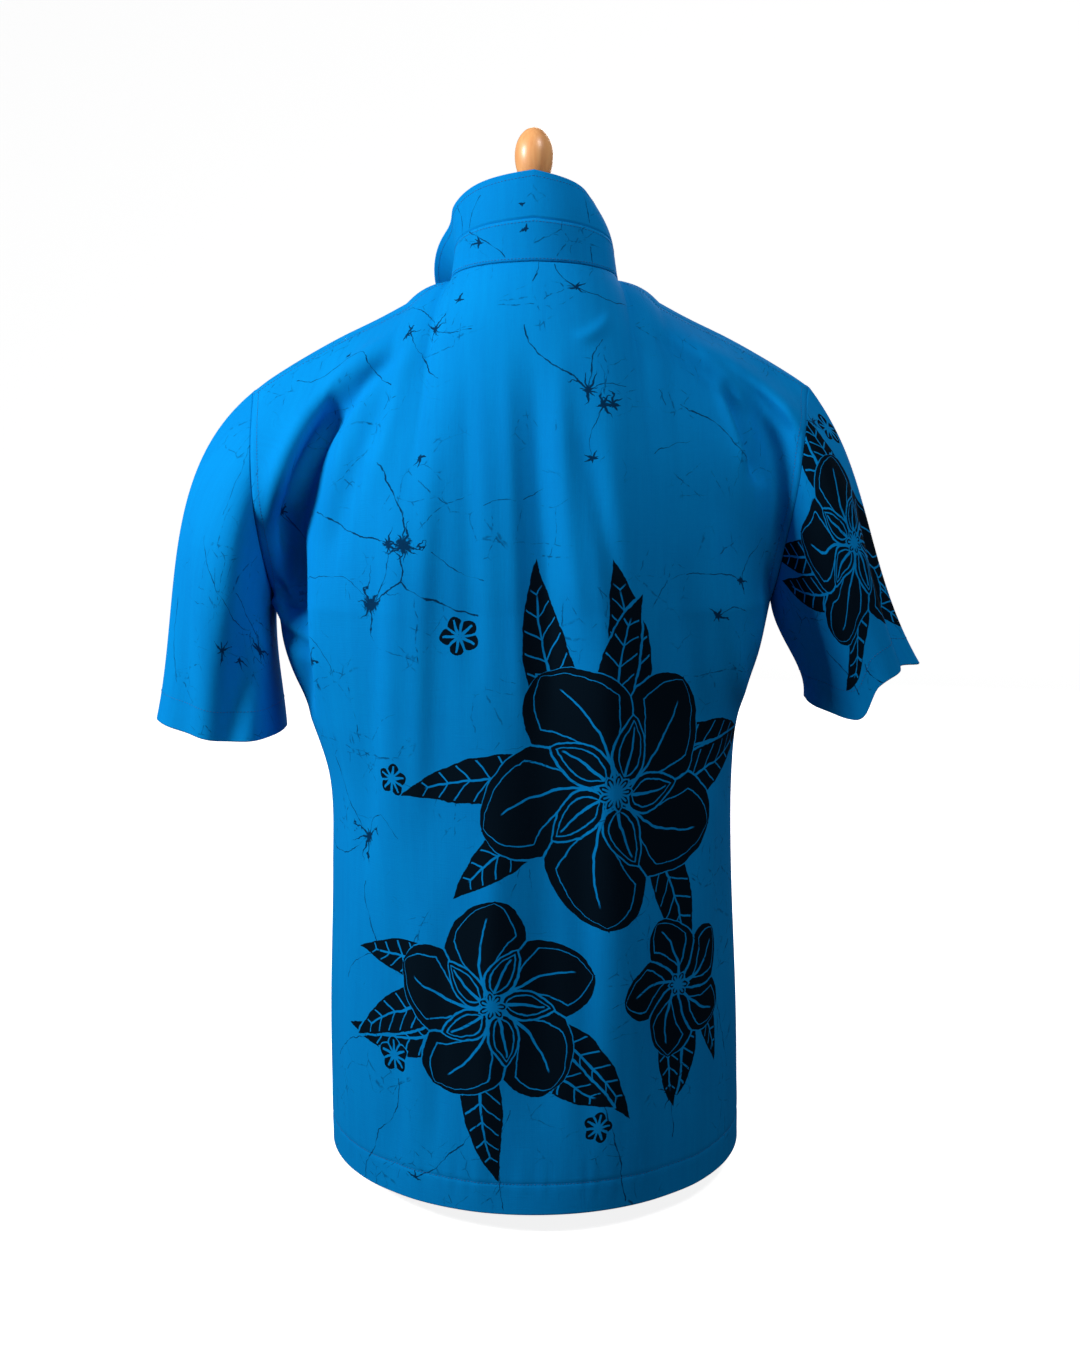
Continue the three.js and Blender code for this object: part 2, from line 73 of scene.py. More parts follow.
BODY_SECTIONS = (
    dict(up=0, left=184, right=185, back=168, front=150),
    dict(up=120, left=184, right=182, back=162, front=147),
    dict(up=250, left=180, right=176, back=156, front=144),
    dict(up=330, left=181, right=175, back=152, front=142),
    dict(up=390, left=199, right=180, back=149, front=138),
    dict(up=440, left=217, right=196, back=147, front=135),
    dict(up=485, left=226, right=206, back=145, front=132),
)
SHOULDER_RIDGE = (
    dict(out=70, up=754),
    dict(out=84, up=747),
    dict(out=126, up=725),
    dict(out=163, up=708),
    dict(out=196, up=691),
    dict(out=226, up=674),
    dict(out=242, up=663),
)
COLLAR_ROWS = (
    dict(angle=0, seam=764, stand=34, leaf=40, left=-13, right=-13),
    dict(angle=45, seam=762, stand=30.5, leaf=37, left=-8, right=-20),
    dict(angle=82, seam=756, stand=27, leaf=33, left=2, right=-29),
    dict(angle=105, seam=742, stand=27, leaf=36, left=18, right=-20),
    dict(angle=130, seam=718, stand=27, leaf=55, left=86, right=6),
    dict(angle=155, seam=698, stand=26, leaf=66, left=96, right=34),
    dict(angle=173.5, seam=690, stand=25, leaf=74, left=98, right=42),
)
FORM_SECTIONS = (
    dict(up=-1.5, across=146, back=108, front=98),
    dict(up=90, across=150, back=112, front=100),
    dict(up=240, across=138, back=102, front=94),
    dict(up=360, across=148, back=108, front=100),
    dict(up=480, across=168, back=116, front=106),
    dict(up=560, across=178, back=106, front=98),
    dict(up=610, across=184, back=88, front=84),
    dict(up=645, across=180, back=68, front=68),
    dict(up=670, across=160, back=54, front=58),
    dict(up=690, across=128, back=46, front=54),
    dict(up=708, across=92, back=43, front=53),
    dict(up=724, across=66, back=43, front=52),
    dict(up=740, across=54, back=44, front=52),
    dict(up=790, across=51, back=46, front=52),
)


def smoothstep(x: Array, low: float, high: float) -> Array:
    """Rise smoothly from 0 at low to 1 at high.

    Args:
        x: The values to ease.
        low: Where the rise starts.
        high: Where it ends.

    Returns:
        The eased values, from 0 to 1.
    """
    t = np.clip((x - low) / (high - low), 0, 1)
    return t * t * (3 - 2 * t)


def lerp(a: Array, b: Array, t: Array) -> Array:
    """Return the value a share t of the way from a to b."""
    return a + (b - a) * t


def read(rows: tuple[dict, ...], key: str, at: Array, column: str) -> Array:
    """Read one column of a table smoothly between its rows.

    Args:
        rows: The table.
        key: The column that says where each row lies.
        at: Where to read.
        column: The column to read.

    Returns:
        The column's values there.
    """
    keys = np.array([row[key] for row in rows], float)
    values = np.array([row[column] for row in rows], float)
    before = np.maximum(np.arange(len(rows)) - 1, 0)
    after = np.minimum(np.arange(len(rows)) + 1, len(rows) - 1)
    slopes = (values[after] - values[before]) / (keys[after] - keys[before])
    x = np.clip(at, keys[0], keys[-1])
    i = np.clip(np.searchsorted(keys, x, side="right") - 1, 0, len(rows) - 2)
    span = keys[i + 1] - keys[i]
    t = (x - keys[i]) / span
    near = (1 + 2 * t) * values[i] + t * span * slopes[i]
    far = (3 - 2 * t) * values[i + 1] - (1 - t) * span * slopes[i + 1]
    return (1 - t) ** 2 * near + t**2 * far


def normals_of(points: Array, tube: bool = False) -> Array:
    """Work out the way out of a grid of points.

    Args:
        points: The grid, columns by rows by 3.
        tube: Whether the last column meets the first.

    Returns:
        Unit vectors, one for each point.
    """
    if tube:
        ring = np.concatenate([points[-2:-1], points, points[1:2]])
        across = (ring[2:] - ring[:-2]) / 2
    else:
        across = np.gradient(points, axis=0)
    rising = np.gradient(points, axis=1)
    normal = np.cross(across, rising)
    return normal / np.maximum(np.linalg.norm(normal, axis=2, keepdims=True), 1e-9)


@dataclass(frozen=True)
class Fold:
    """One fold of a panel, in the plane of its distance across and its height.

    It runs from (x0, up0) to (x1, up1), bows sideways by bow, and stands out by depth, or goes in
    if that is negative. width is how far its slopes reach, and sharp is how much shorter its
    slope is on its left than on its right.
    """

    x0: float
    up0: float
    x1: float
    up1: float
    depth: float
    width: float
    bow: float = 0.0
    sharp: float = 0.0

    def at(self, across: Array, up: Array) -> Array:
        """Return how far the fold moves the cloth at each place."""
        dx = self.x1 - self.x0
        du = self.up1 - self.up0
        length = math.hypot(dx, du)
        t = ((across - self.x0) * dx + (up - self.up0) * du) / length**2
        straight = ((across - self.x0) * -du + (up - self.up0) * dx) / length
        on = np.clip(t, 0, 1)
        off = straight - 4 * self.bow * on * (1 - on)
        ends = smoothstep(t, -0.1, 0.3) * (1 - smoothstep(t, 0.8, 1.12))
        width = self.width * np.where(off > 0, 1 + self.sharp, 1 - self.sharp)
        return self.depth * ends * np.exp(-((off / width) ** 2))


def folded(folds: tuple[Fold, ...], across: Array, up: Array) -> Array:
    """Return how far a set of folds moves the cloth at each place."""
    return sum((fold.at(across, up) for fold in folds), np.zeros_like(across))


BACK_FOLDS = (
    Fold(150, 690, 204, 470, depth=-30, width=15, bow=14),
    Fold(108, 716, 216, 560, depth=14, width=15, bow=16),
    Fold(-112, 716, -226, 628, depth=12, width=14, bow=-8),
    Fold(-178, 672, -196, 470, depth=-21, width=15, bow=-14),
    Fold(95, 640, 116, 280, depth=8, width=24, bow=10),
    Fold(14, 700, -6, 60, depth=-8, width=26, bow=-14),
    Fold(-62, 690, -84, 120, depth=7, width=24, bow=12),
    Fold(-124, 600, -116, 40, depth=-7, width=26, bow=8),
)
FRONT_FOLDS = (
    Fold(166, 668, 200, 470, depth=-24, width=16, bow=12),
    Fold(-166, 668, -190, 475, depth=-21, width=16, bow=-12),
    Fold(102, 640, 112, 90, depth=-9, width=24, bow=12),
    Fold(-98, 650, -112, 70, depth=-8, width=24, bow=-10),
    Fold(140, 700, 206, 590, depth=8, width=14, bow=10),
    Fold(-140, 700, -206, 600, depth=8, width=14, bow=-10),
)

FINE_BACK_FOLDS = (
    Fold(112, 690, 206, 520, depth=-8, width=7, bow=24),
    Fold(205, 566, 194, 400, depth=-12, width=7),
    Fold(118, 706, 214, 566, depth=6, width=8, bow=18),
    Fold(236, 520, 204, 480, depth=-9, width=5),
    Fold(239, 500, 208, 462, depth=7, width=5),
    Fold(232, 490, 196, 440, depth=-6, width=5),
    Fold(107, 672, 168, 520, depth=-4.2, width=11, bow=8),
    Fold(92, 715, 126, 585, depth=3.6, width=9, bow=4),
    Fold(-158, 668, -186, 590, depth=-9, width=5.5),
    Fold(-150, 672, -176, 600, depth=4.5, width=6),
    Fold(-92, 712, -176, 640, depth=-3.2, width=6, bow=-4),
    Fold(-20, 682, -38, 470, depth=4.0, width=9, bow=4),
    Fold(-40, 628, -92, 395, depth=-4.2, width=10, bow=2),
    Fold(22, 700, 10, 400, depth=2.6, width=7),
    Fold(2, 690, -14, 420, depth=-2.6, width=7),
    Fold(54, 690, 48, 430, depth=-2.6, width=9),
    Fold(76, 640, 92, 330, depth=3.4, width=10, bow=4),
    Fold(128, 560, 150, 240, depth=-3.4, width=11, bow=-6),
    Fold(-120, 520, -150, 330, depth=-3.6, width=11, bow=5),
    Fold(-150, 560, -178, 400, depth=3.6, width=9, bow=5),
    Fold(-36, 380, -44, 60, depth=-3.0, width=12),
    Fold(30, 330, 44, 20, depth=2.8, width=12),
    Fold(70, 260, 84, 30, depth=-2.4, width=10),
    Fold(110, 260, 118, 10, depth=-2.8, width=11),
    Fold(150, 330, 158, 40, depth=2.4, width=11),
    Fold(-84, 300, -92, 20, depth=2.4, width=11),
    Fold(-128, 300, -134, 10, depth=3.0, width=12),
    Fold(-166, 420, -158, 60, depth=-2.8, width=11),
    Fold(-62, 722, -34, 700, depth=1.8, width=5, bow=-4),
    Fold(-150, 690, -216, 622, depth=-3.4, width=5, bow=-4),
)
FINE_FRONT_FOLDS = (
    Fold(60, 660, 84, 420, depth=-4.0, width=10, bow=5),
    Fold(-60, 660, -84, 420, depth=-3.6, width=10, bow=-5),
    Fold(84, 690, 128, 560, depth=3.4, width=9, bow=5),
    Fold(-80, 690, -120, 550, depth=3.2, width=9, bow=-5),
    Fold(128, 420, 138, 80, depth=3.6, width=12),
    Fold(-128, 420, -138, 80, depth=3.4, width=12),
    Fold(72, 380, 80, 30, depth=-2.6, width=11),
    Fold(-76, 360, -70, 30, depth=-2.8, width=11),
    Fold(166, 420, 160, 60, depth=-3.0, width=11),
    Fold(-166, 420, -160, 60, depth=-2.6, width=11),
    Fold(172, 640, 206, 540, depth=-7, width=6, bow=6),
    Fold(-172, 640, -200, 540, depth=-7, width=6, bow=-6),
)



# ---------------------------------------------------------------- the cut of the shirt


class Side(Enum):
    """The wearer's two sides, with the way each lies along X."""

    LEFT = 1
    RIGHT = -1


class Panel(Enum):
    """The two kinds of body panel, with the way each faces along Y."""

    BACK = 1
    FRONT = -1


@dataclass(frozen=True)
class NeckCut:
    """The neck opening.

    Attributes:
        radius: Half its width.
        centre_y: Where its centre lies.
        back: From the centre to the seam at the nape.
        front: From the centre to the seam at the throat.
        share: The share of a panel's half width that ends in the neck.
        seam_angle: Where the shoulder seam meets it.
        edge_angle: Where each front edge meets the collar.
    """

    radius: float = 71
    centre_y: float = 3
    back: float = 67
    front: float = 85
    share: float = 0.36
    seam_angle: float = 82
    edge_angle: float = 173.5

    def point(self, angle: Array) -> tuple[Array, Array, Array]:
        """Return the points of the neck seam on the wearer's left, as x, y and up."""
        cosine = np.cos(np.radians(angle))
        y = self.centre_y + cosine * np.where(cosine > 0, self.back, self.front)
        up = read(COLLAR_ROWS, "angle", angle, "seam")
        return self.radius * np.sin(np.radians(angle)), y, up

    def angle(self, panel: Panel, s: Array, overlap: float) -> Array:
        """Return the angle at which a panel's columns end.

        Args:
            panel: Back or front.
            s: The columns.
            overlap: How far a front runs past the centre.

        Returns:
            Angles in degrees from the nape.
        """
        if panel is Panel.BACK:
            return self.seam_angle * s / self.share
        share = (self.share - s) / (self.share + overlap)
        return lerp(self.seam_angle, self.edge_angle, share)


@dataclass(frozen=True)
class BodyCut:
    """The shape of the shirt's body, shared by the back, the fronts and the armholes."""

    neck: NeckCut = NeckCut()
    tip: dict = field(default_factory=lambda: {Side.LEFT: 240, Side.RIGHT: 234})
    seam_y: float = 9
    swing: float = 33
    crown: float = 14
    overlap: float = 0.05
    under_lap: float = 3.6
    bend: dict = field(default_factory=lambda: {Panel.BACK: (64, 78), Panel.FRONT: (48, 100)})

    def top(self, panel: Panel, side: Side, s: Array) -> tuple[Array, Array, Array]:
        """Return where each column ends, in the neck seam or the shoulder seam."""
        in_neck = s <= self.neck.share
        capped = np.minimum(s, self.neck.share)
        x_neck, y_neck, up_neck = self.neck.point(self.neck.angle(panel, capped, self.overlap))
        corner = [float(value) for value in self.neck.point(np.array(self.neck.seam_angle))]
        out = np.clip((s - self.neck.share) / (1 - self.neck.share), 0, 1)
        x = lerp(corner[0], self.tip[side], out)
        ridge = read(SHOULDER_RIDGE, "out", x, "up") - 1
        up = lerp(corner[2], ridge, np.clip(out * 5, 0, 1))
        y = lerp(corner[1], self.seam_y, np.minimum(out * 2, 1))
        return (
            np.where(in_neck, x_neck, x),
            np.where(in_neck, y_neck, y),
            np.where(in_neck, up_neck, up),
        )

    def point(self, panel: Panel, side: Side, s: Array, v: Array) -> Array:
        """Return the points of the body's outer face, in millimetres.

        Args:
            panel: Back or front.
            side: The wearer's left or right.
            s: Columns, from the centre (0) to the side seam or armhole (1).
            v: Rows, from the hem (0) to the armpit (1) and the top (2).

        Returns:
            The points, with a last axis of three.
        """
        facing = panel.value
        width = side.name.lower()
        low = np.minimum(v, 1) * ARMPIT_UP
        w = np.maximum(v - 1, 0)
        wave = np.maximum(np.sin(np.pi * w), 0)
        edge = np.radians(90 - self.swing * wave**0.75)
        around = np.radians(90 - s * self.swing * wave ** lerp(1.6, 0.75, s * s))
        half = read(BODY_SECTIONS, "up", low, width)
        top_x, top_y, top_up = self.top(panel, side, s)
        held = 1 if panel is Panel.BACK else 1 + 2 * np.clip(1 - s / self.neck.share, 0, 1)
        reach = half * np.sin(s * around) / lerp(1, np.sin(edge), s**6)
        x = lerp(reach, top_x, w**held)
        depth = facing * read(BODY_SECTIONS, "up", low, panel.name.lower()) * np.cos(s * around)
        bend = np.radians(lerp(*self.bend[panel], smoothstep(s, 0, 0.5)))
        back = (np.cos(w * bend) - np.cos(bend)) / (1 - np.cos(bend))
        up = np.where(w > 0, lerp(low, top_up, np.sin(w * bend) / np.sin(bend)), low)
        at_side = smoothstep(s, 0.85, 1) * (1 - smoothstep(v, 1, 1.25))
        free = (1 - smoothstep(v, 1.7, 2)) * (1 - at_side)
        folds = BACK_FOLDS if panel is Panel.BACK else FRONT_FOLDS
        fold = free * folded(folds, side.value * x, up)
        crown = self.crown * w * s**4 * wave**0.6
        lapped = panel is Panel.FRONT and side is Side.RIGHT
        under = self.under_lap * (1 - smoothstep(s, 0.1, 0.22)) if lapped else 0
        y = lerp(top_y, depth, back) + facing * (fold + crown) + under
        return np.stack([side.value * x, y, HEM_Z + up], axis=-1)


@dataclass(frozen=True)
class SleeveCut:
    """The shape of one sleeve.

    Attributes:
        side: Whose sleeve it is.
        hem: The hem's centre, as x, y and up.
        across: Half the hem's width.
        deep: Half its depth.
        lift: How far its outer edge is lifted for each millimetre outwards.
        leave: The way the cloth leaves the shoulder, as out and down.
        arrive: The way it comes to the hem's outer edge.
        sag: How far the hem hangs below its slanting line, by turns round it.
        folds: Its largest folds, in turns round it and shares of its length.
    """

    side: Side
    hem: tuple[float, float, float]
    across: float
    deep: float
    lift: float
    leave: tuple[float, float]
    arrive: tuple[float, float]
    sag: tuple[dict, ...]
    folds: tuple[dict, ...]

    def point(self, body: BodyCut, turn: Array, along: Array) -> Array:
        """Return the points of the sleeve's outer face, in millimetres.

        Args:
            body: The body that it is sewn to.
            turn: Turns round it, from the underarm by the back.
            along: Its length, from the armhole (0) to the hem (1).

        Returns:
            The points, with a last axis of three.
        """
        sign = self.side.value
        angle = 2 * np.pi * turn
        over = (1 - np.cos(angle)) / 2
        one = np.ones_like(turn)
        behind = body.point(Panel.BACK, self.side, one, 1 + over)
        before = body.point(Panel.FRONT, self.side, one, 1 + over)
        start = np.where((turn % 1 <= 0.5)[..., None], behind, before)
        start[..., 0] += sign * 0.6
        out = -self.across * np.cos(angle)
        x, y, up = self.hem
        level = HEM_Z + up + self.lift * out - read(self.sag, "turn", turn % 1, "drop")
        end = np.stack([sign * (x + out), y + self.deep * np.sin(angle), level], -1)
        reach = 0.36 * np.linalg.norm(end - start, axis=-1, keepdims=True)
        first = np.stack(
            [sign * lerp(0.12, self.leave[0], over), 0.25 * np.sin(angle), -lerp(1, self.leave[1], over)],
            -1,
        )
        last = np.stack([sign * lerp(-0.06, self.arrive[0], over), 0 * over, -self.arrive[1] * one], -1)
        t = along[..., None]
        point = (
            (1 - t) ** 3 * start
            + 3 * (1 - t) ** 2 * t * (start + first * reach)
            + 3 * (1 - t) * t**2 * (end - last * reach)
            + t**3 * end
        )
        middle_top = body.point(Panel.BACK, self.side, np.array(1.0), np.array(1.5))
        middle_top[1] = 0
        middle = lerp(middle_top, np.array([sign * x, y, HEM_Z + up]), t)
        outward = point - middle
        outward[..., 2] = 0
        outward /= np.linalg.norm(outward, axis=-1, keepdims=True)
        return point + outward * self.fold(turn % 1, along)[..., None]

    def fold(self, turn: Array, along: Array) -> Array:
        """Return how far the sleeve's folds move the cloth outwards."""
        total = np.zeros_like(turn)
        for row in self.folds:
            t = (along - row["along0"]) / (row["along1"] - row["along0"])
            off = turn - lerp(row["turn0"], row["turn1"], t)
            total += row["depth"] * smoothstep(t, 0, 0.6) * np.exp(-((off / row["width"]) ** 2))
        return total


LEFT_SLEEVE = SleeveCut(
    side=Side.LEFT,
    hem=(276, 2, 379),
    across=56,
    deep=65,
    lift=0.08,
    leave=(0.78, 0.62),
    arrive=(0.24, 0.97),
    sag=(
        dict(turn=0, drop=2),
        dict(turn=0.12, drop=6),
        dict(turn=0.22, drop=8),
        dict(turn=0.32, drop=4),
        dict(turn=0.42, drop=0),
        dict(turn=1, drop=2),
    ),
    folds=(
        dict(turn0=0.12, along0=0.2, turn1=0.2, along1=1.1, depth=-9, width=0.05),
        dict(turn0=0.06, along0=0.1, turn1=0.12, along1=0.7, depth=7, width=0.04),
        dict(turn0=0.36, along0=0.4, turn1=0.31, along1=1.1, depth=-7, width=0.05),
        dict(turn0=0.72, along0=0.3, turn1=0.76, along1=1.1, depth=-8, width=0.06),
    ),
)
RIGHT_SLEEVE = SleeveCut(
    side=Side.RIGHT,
    hem=(288, 2, 414),
    across=49,
    deep=69,
    lift=0.34,
    leave=(0.62, 0.78),
    arrive=(0.52, 0.85),
    sag=(
        dict(turn=0, drop=-1),
        dict(turn=0.09, drop=6),
        dict(turn=0.17, drop=17),
        dict(turn=0.215, drop=17),
        dict(turn=0.25, drop=-4),
        dict(turn=0.35, drop=-7),
        dict(turn=0.5, drop=0),
        dict(turn=1, drop=-1),
    ),
    folds=(
        dict(turn0=0.42, along0=0.2, turn1=0.37, along1=1.1, depth=-15, width=0.05),
        dict(turn0=0.1, along0=0.2, turn1=0.14, along1=0.9, depth=-6, width=0.05),
        dict(turn0=0.72, along0=0.3, turn1=0.75, along1=1.1, depth=-8, width=0.06),
    ),
)


@dataclass(frozen=True)
class CollarCut:
    """The shape of the collar's stand and of its leaf, which is turned up."""

    neck: NeckCut = NeckCut()
    leaf_end: float = 167
    point_reach: float = 24
    stand_lean: float = 4

    def stand(self, angle: Array, rise: Array) -> Array:
        """Return the points of the stand, from the neck seam (0) to the leaf (1)."""
        turn = np.abs(angle)
        x, y, up = self.neck.point(turn)
        inward = np.stack([-x, self.neck.centre_y - y], -1)
        inward /= np.linalg.norm(inward, axis=-1, keepdims=True)
        x = x + inward[..., 0] * self.stand_lean * rise
        y = y + inward[..., 1] * self.stand_lean * rise
        up = up + 0.4 + rise * read(COLLAR_ROWS, "angle", turn, "stand")
        return np.stack([x * np.where(angle < 0, -1, 1), y, HEM_Z + up], -1)

    def leaf(self, share: Array, rise: Array) -> Array:
        """Return the points of the leaf, from the stand (0) to its free edge (1)."""
        angle = share * self.leaf_end
        turn = np.abs(angle)
        root = self.stand(angle, np.ones_like(angle))
        outward = np.stack([root[..., 0], root[..., 1] - self.neck.centre_y], -1)
        outward /= np.linalg.norm(outward, axis=-1, keepdims=True)
        sign = np.sign(angle)
        forward = np.stack([outward[..., 1] * sign, -outward[..., 0] * sign], -1)
        left = read(COLLAR_ROWS, "angle", turn, "left")
        right = read(COLLAR_ROWS, "angle", turn, "right")
        bent = np.radians(np.where(angle < 0, right, left)) * (0.35 + 0.65 * rise)
        width = rise * read(COLLAR_ROWS, "angle", turn, "leaf")
        reach = self.point_reach * rise * np.abs(share) ** 5
        level = root[..., :2] + outward * (width * np.sin(bent))[..., None] + forward * reach[..., None]
        up = root[..., 2] + 0.5 + width * np.cos(bent)
        return np.concatenate([level, up[..., None]], -1)


# ---------------------------------------------------------------- cloth as meshes


def arc_lengths(points: Array, axis: int, origin: int = 0) -> Array:
    """Measure along a grid's rows or columns.

    Args:
        points: The grid, in millimetres.
        axis: 0 to measure across, 1 to measure up.
        origin: The column or row that measures 0.

    Returns:
        The length along the cloth to each point, in metres.
    """
    steps = np.linalg.norm(np.diff(points, axis=axis), axis=2)
    start = np.zeros_like(np.take(steps, [0], axis=axis))
    length = np.cumsum(np.concatenate([start, steps], axis=axis), axis=axis)
    return (length - np.take(length, [origin], axis=axis)) * MM


def object_from(name: str, bm: bmesh.types.BMesh, smooth: bool = True) -> bpy.types.Object:
    """Make an object at the origin from a bmesh, and free the bmesh.

    Args:
        name: The piece's name.
        bm: Its mesh, in metres.
        smooth: Whether its faces are shaded smooth.

    Returns:
        The new object.
    """
    mesh = bpy.data.meshes.new(name)
    bm.to_mesh(mesh)
    bm.free()
    mesh.polygons.foreach_set("use_smooth", [smooth] * len(mesh.polygons))
    piece = bpy.data.objects.new(name, mesh)
    bpy.context.scene.collection.objects.link(piece)
    return piece


def cloth_object(name: str, points: Array, uv: Array, wall: float, tube: bool = False) -> bpy.types.Object:
    """Make a thin shell of cloth from a grid of points.

    Args:
        name: The piece's name.
        points: The outer face, columns by rows by 3, in millimetres.
        uv: The place of each point on the flat cloth, in metres.
        wall: The cloth's thickness, in millimetres.
        tube: Whether the last column meets the first.

    Returns:
        The new object, with a UV map in metres of cloth.
    """
    columns, rows = points.shape[:2]
    bm = bmesh.new()
    bmesh.ops.create_grid(bm, x_segments=columns - 1, y_segments=rows - 1, size=0.5)
    bm.verts.ensure_lookup_table()
    layer = bm.loops.layers.uv.new("Cloth")
    places = [
        (round((vert.co.x + 0.5) * (columns - 1)), round((vert.co.y + 0.5) * (rows - 1)))
        for vert in bm.verts
    ]
    for vert, (i, j) in zip(bm.verts, places):
        vert.co = Vector(points[i, j] * MM)
    for face in bm.faces:
        for loop in face.loops:
            loop[layer].uv = uv[places[loop.vert.index]]
    if tube:
        bmesh.ops.remove_doubles(bm, verts=bm.verts, dist=1e-6)
    piece = object_from(name, bm)
    shell = piece.modifiers.new("Cloth", "SOLIDIFY")
    shell.thickness = wall * MM
    shell.offset = -1
    shell.use_even_offset = False
    return piece


@dataclass
class Cloth:
    """A piece of cloth on its way to becoming an object."""

    name: str
    points: Array
    centre: int
    wall: float = 0.9
    tube: bool = False
    first_row: int = 0

    def build(self) -> bpy.types.Object:
        """Return the piece, with its UV map measured along the cloth."""
        across = arc_lengths(self.points, 0, self.centre)
        rising = arc_lengths(self.points, 1, self.first_row)
        uv = np.stack([across, rising], -1)
        return cloth_object(f"{self.name}_cloth", self.points, uv, self.wall, self.tube)


HEM_ROWS = np.array([0, 0.8, 2.4, 5, 9, 14, 19, 22.5, 24, 25, 26, 27.5, 30, 33])
TURNED_ROWS = 9
TURNED_GAP = 1.6


def turned_hem(points: Array, normal: Array) -> Array:
    """Turn a hem under along a grid's first row.

    Args:
        points: The outer face, with its first row on the hem's edge.
        normal: The way out at each point.

    Returns:
        The grid with the turned rows put before the first one.
    """
    inside = points[:, TURNED_ROWS:0:-1] - TURNED_GAP * normal[:, TURNED_ROWS:0:-1]
    edge = points[:, :1] - 0.5 * TURNED_GAP * normal[:, :1]
    edge[..., 2] -= 0.35 * TURNED_GAP
    return np.concatenate([inside, edge, points], axis=1)


def ripple(across: Array, up: Array) -> Array:
    """Return the small uneven waves that a row of stitches draws into cloth."""
    slow = np.sin(across / 31 + np.sin(up / 60)) + np.sin(across / 13.7 + 1.3)
    return 0.5 * np.sin(across * math.tau / 9.3 + 2.2 * slow) + 0.5 * np.sin(across * math.tau / 14.9 - slow)


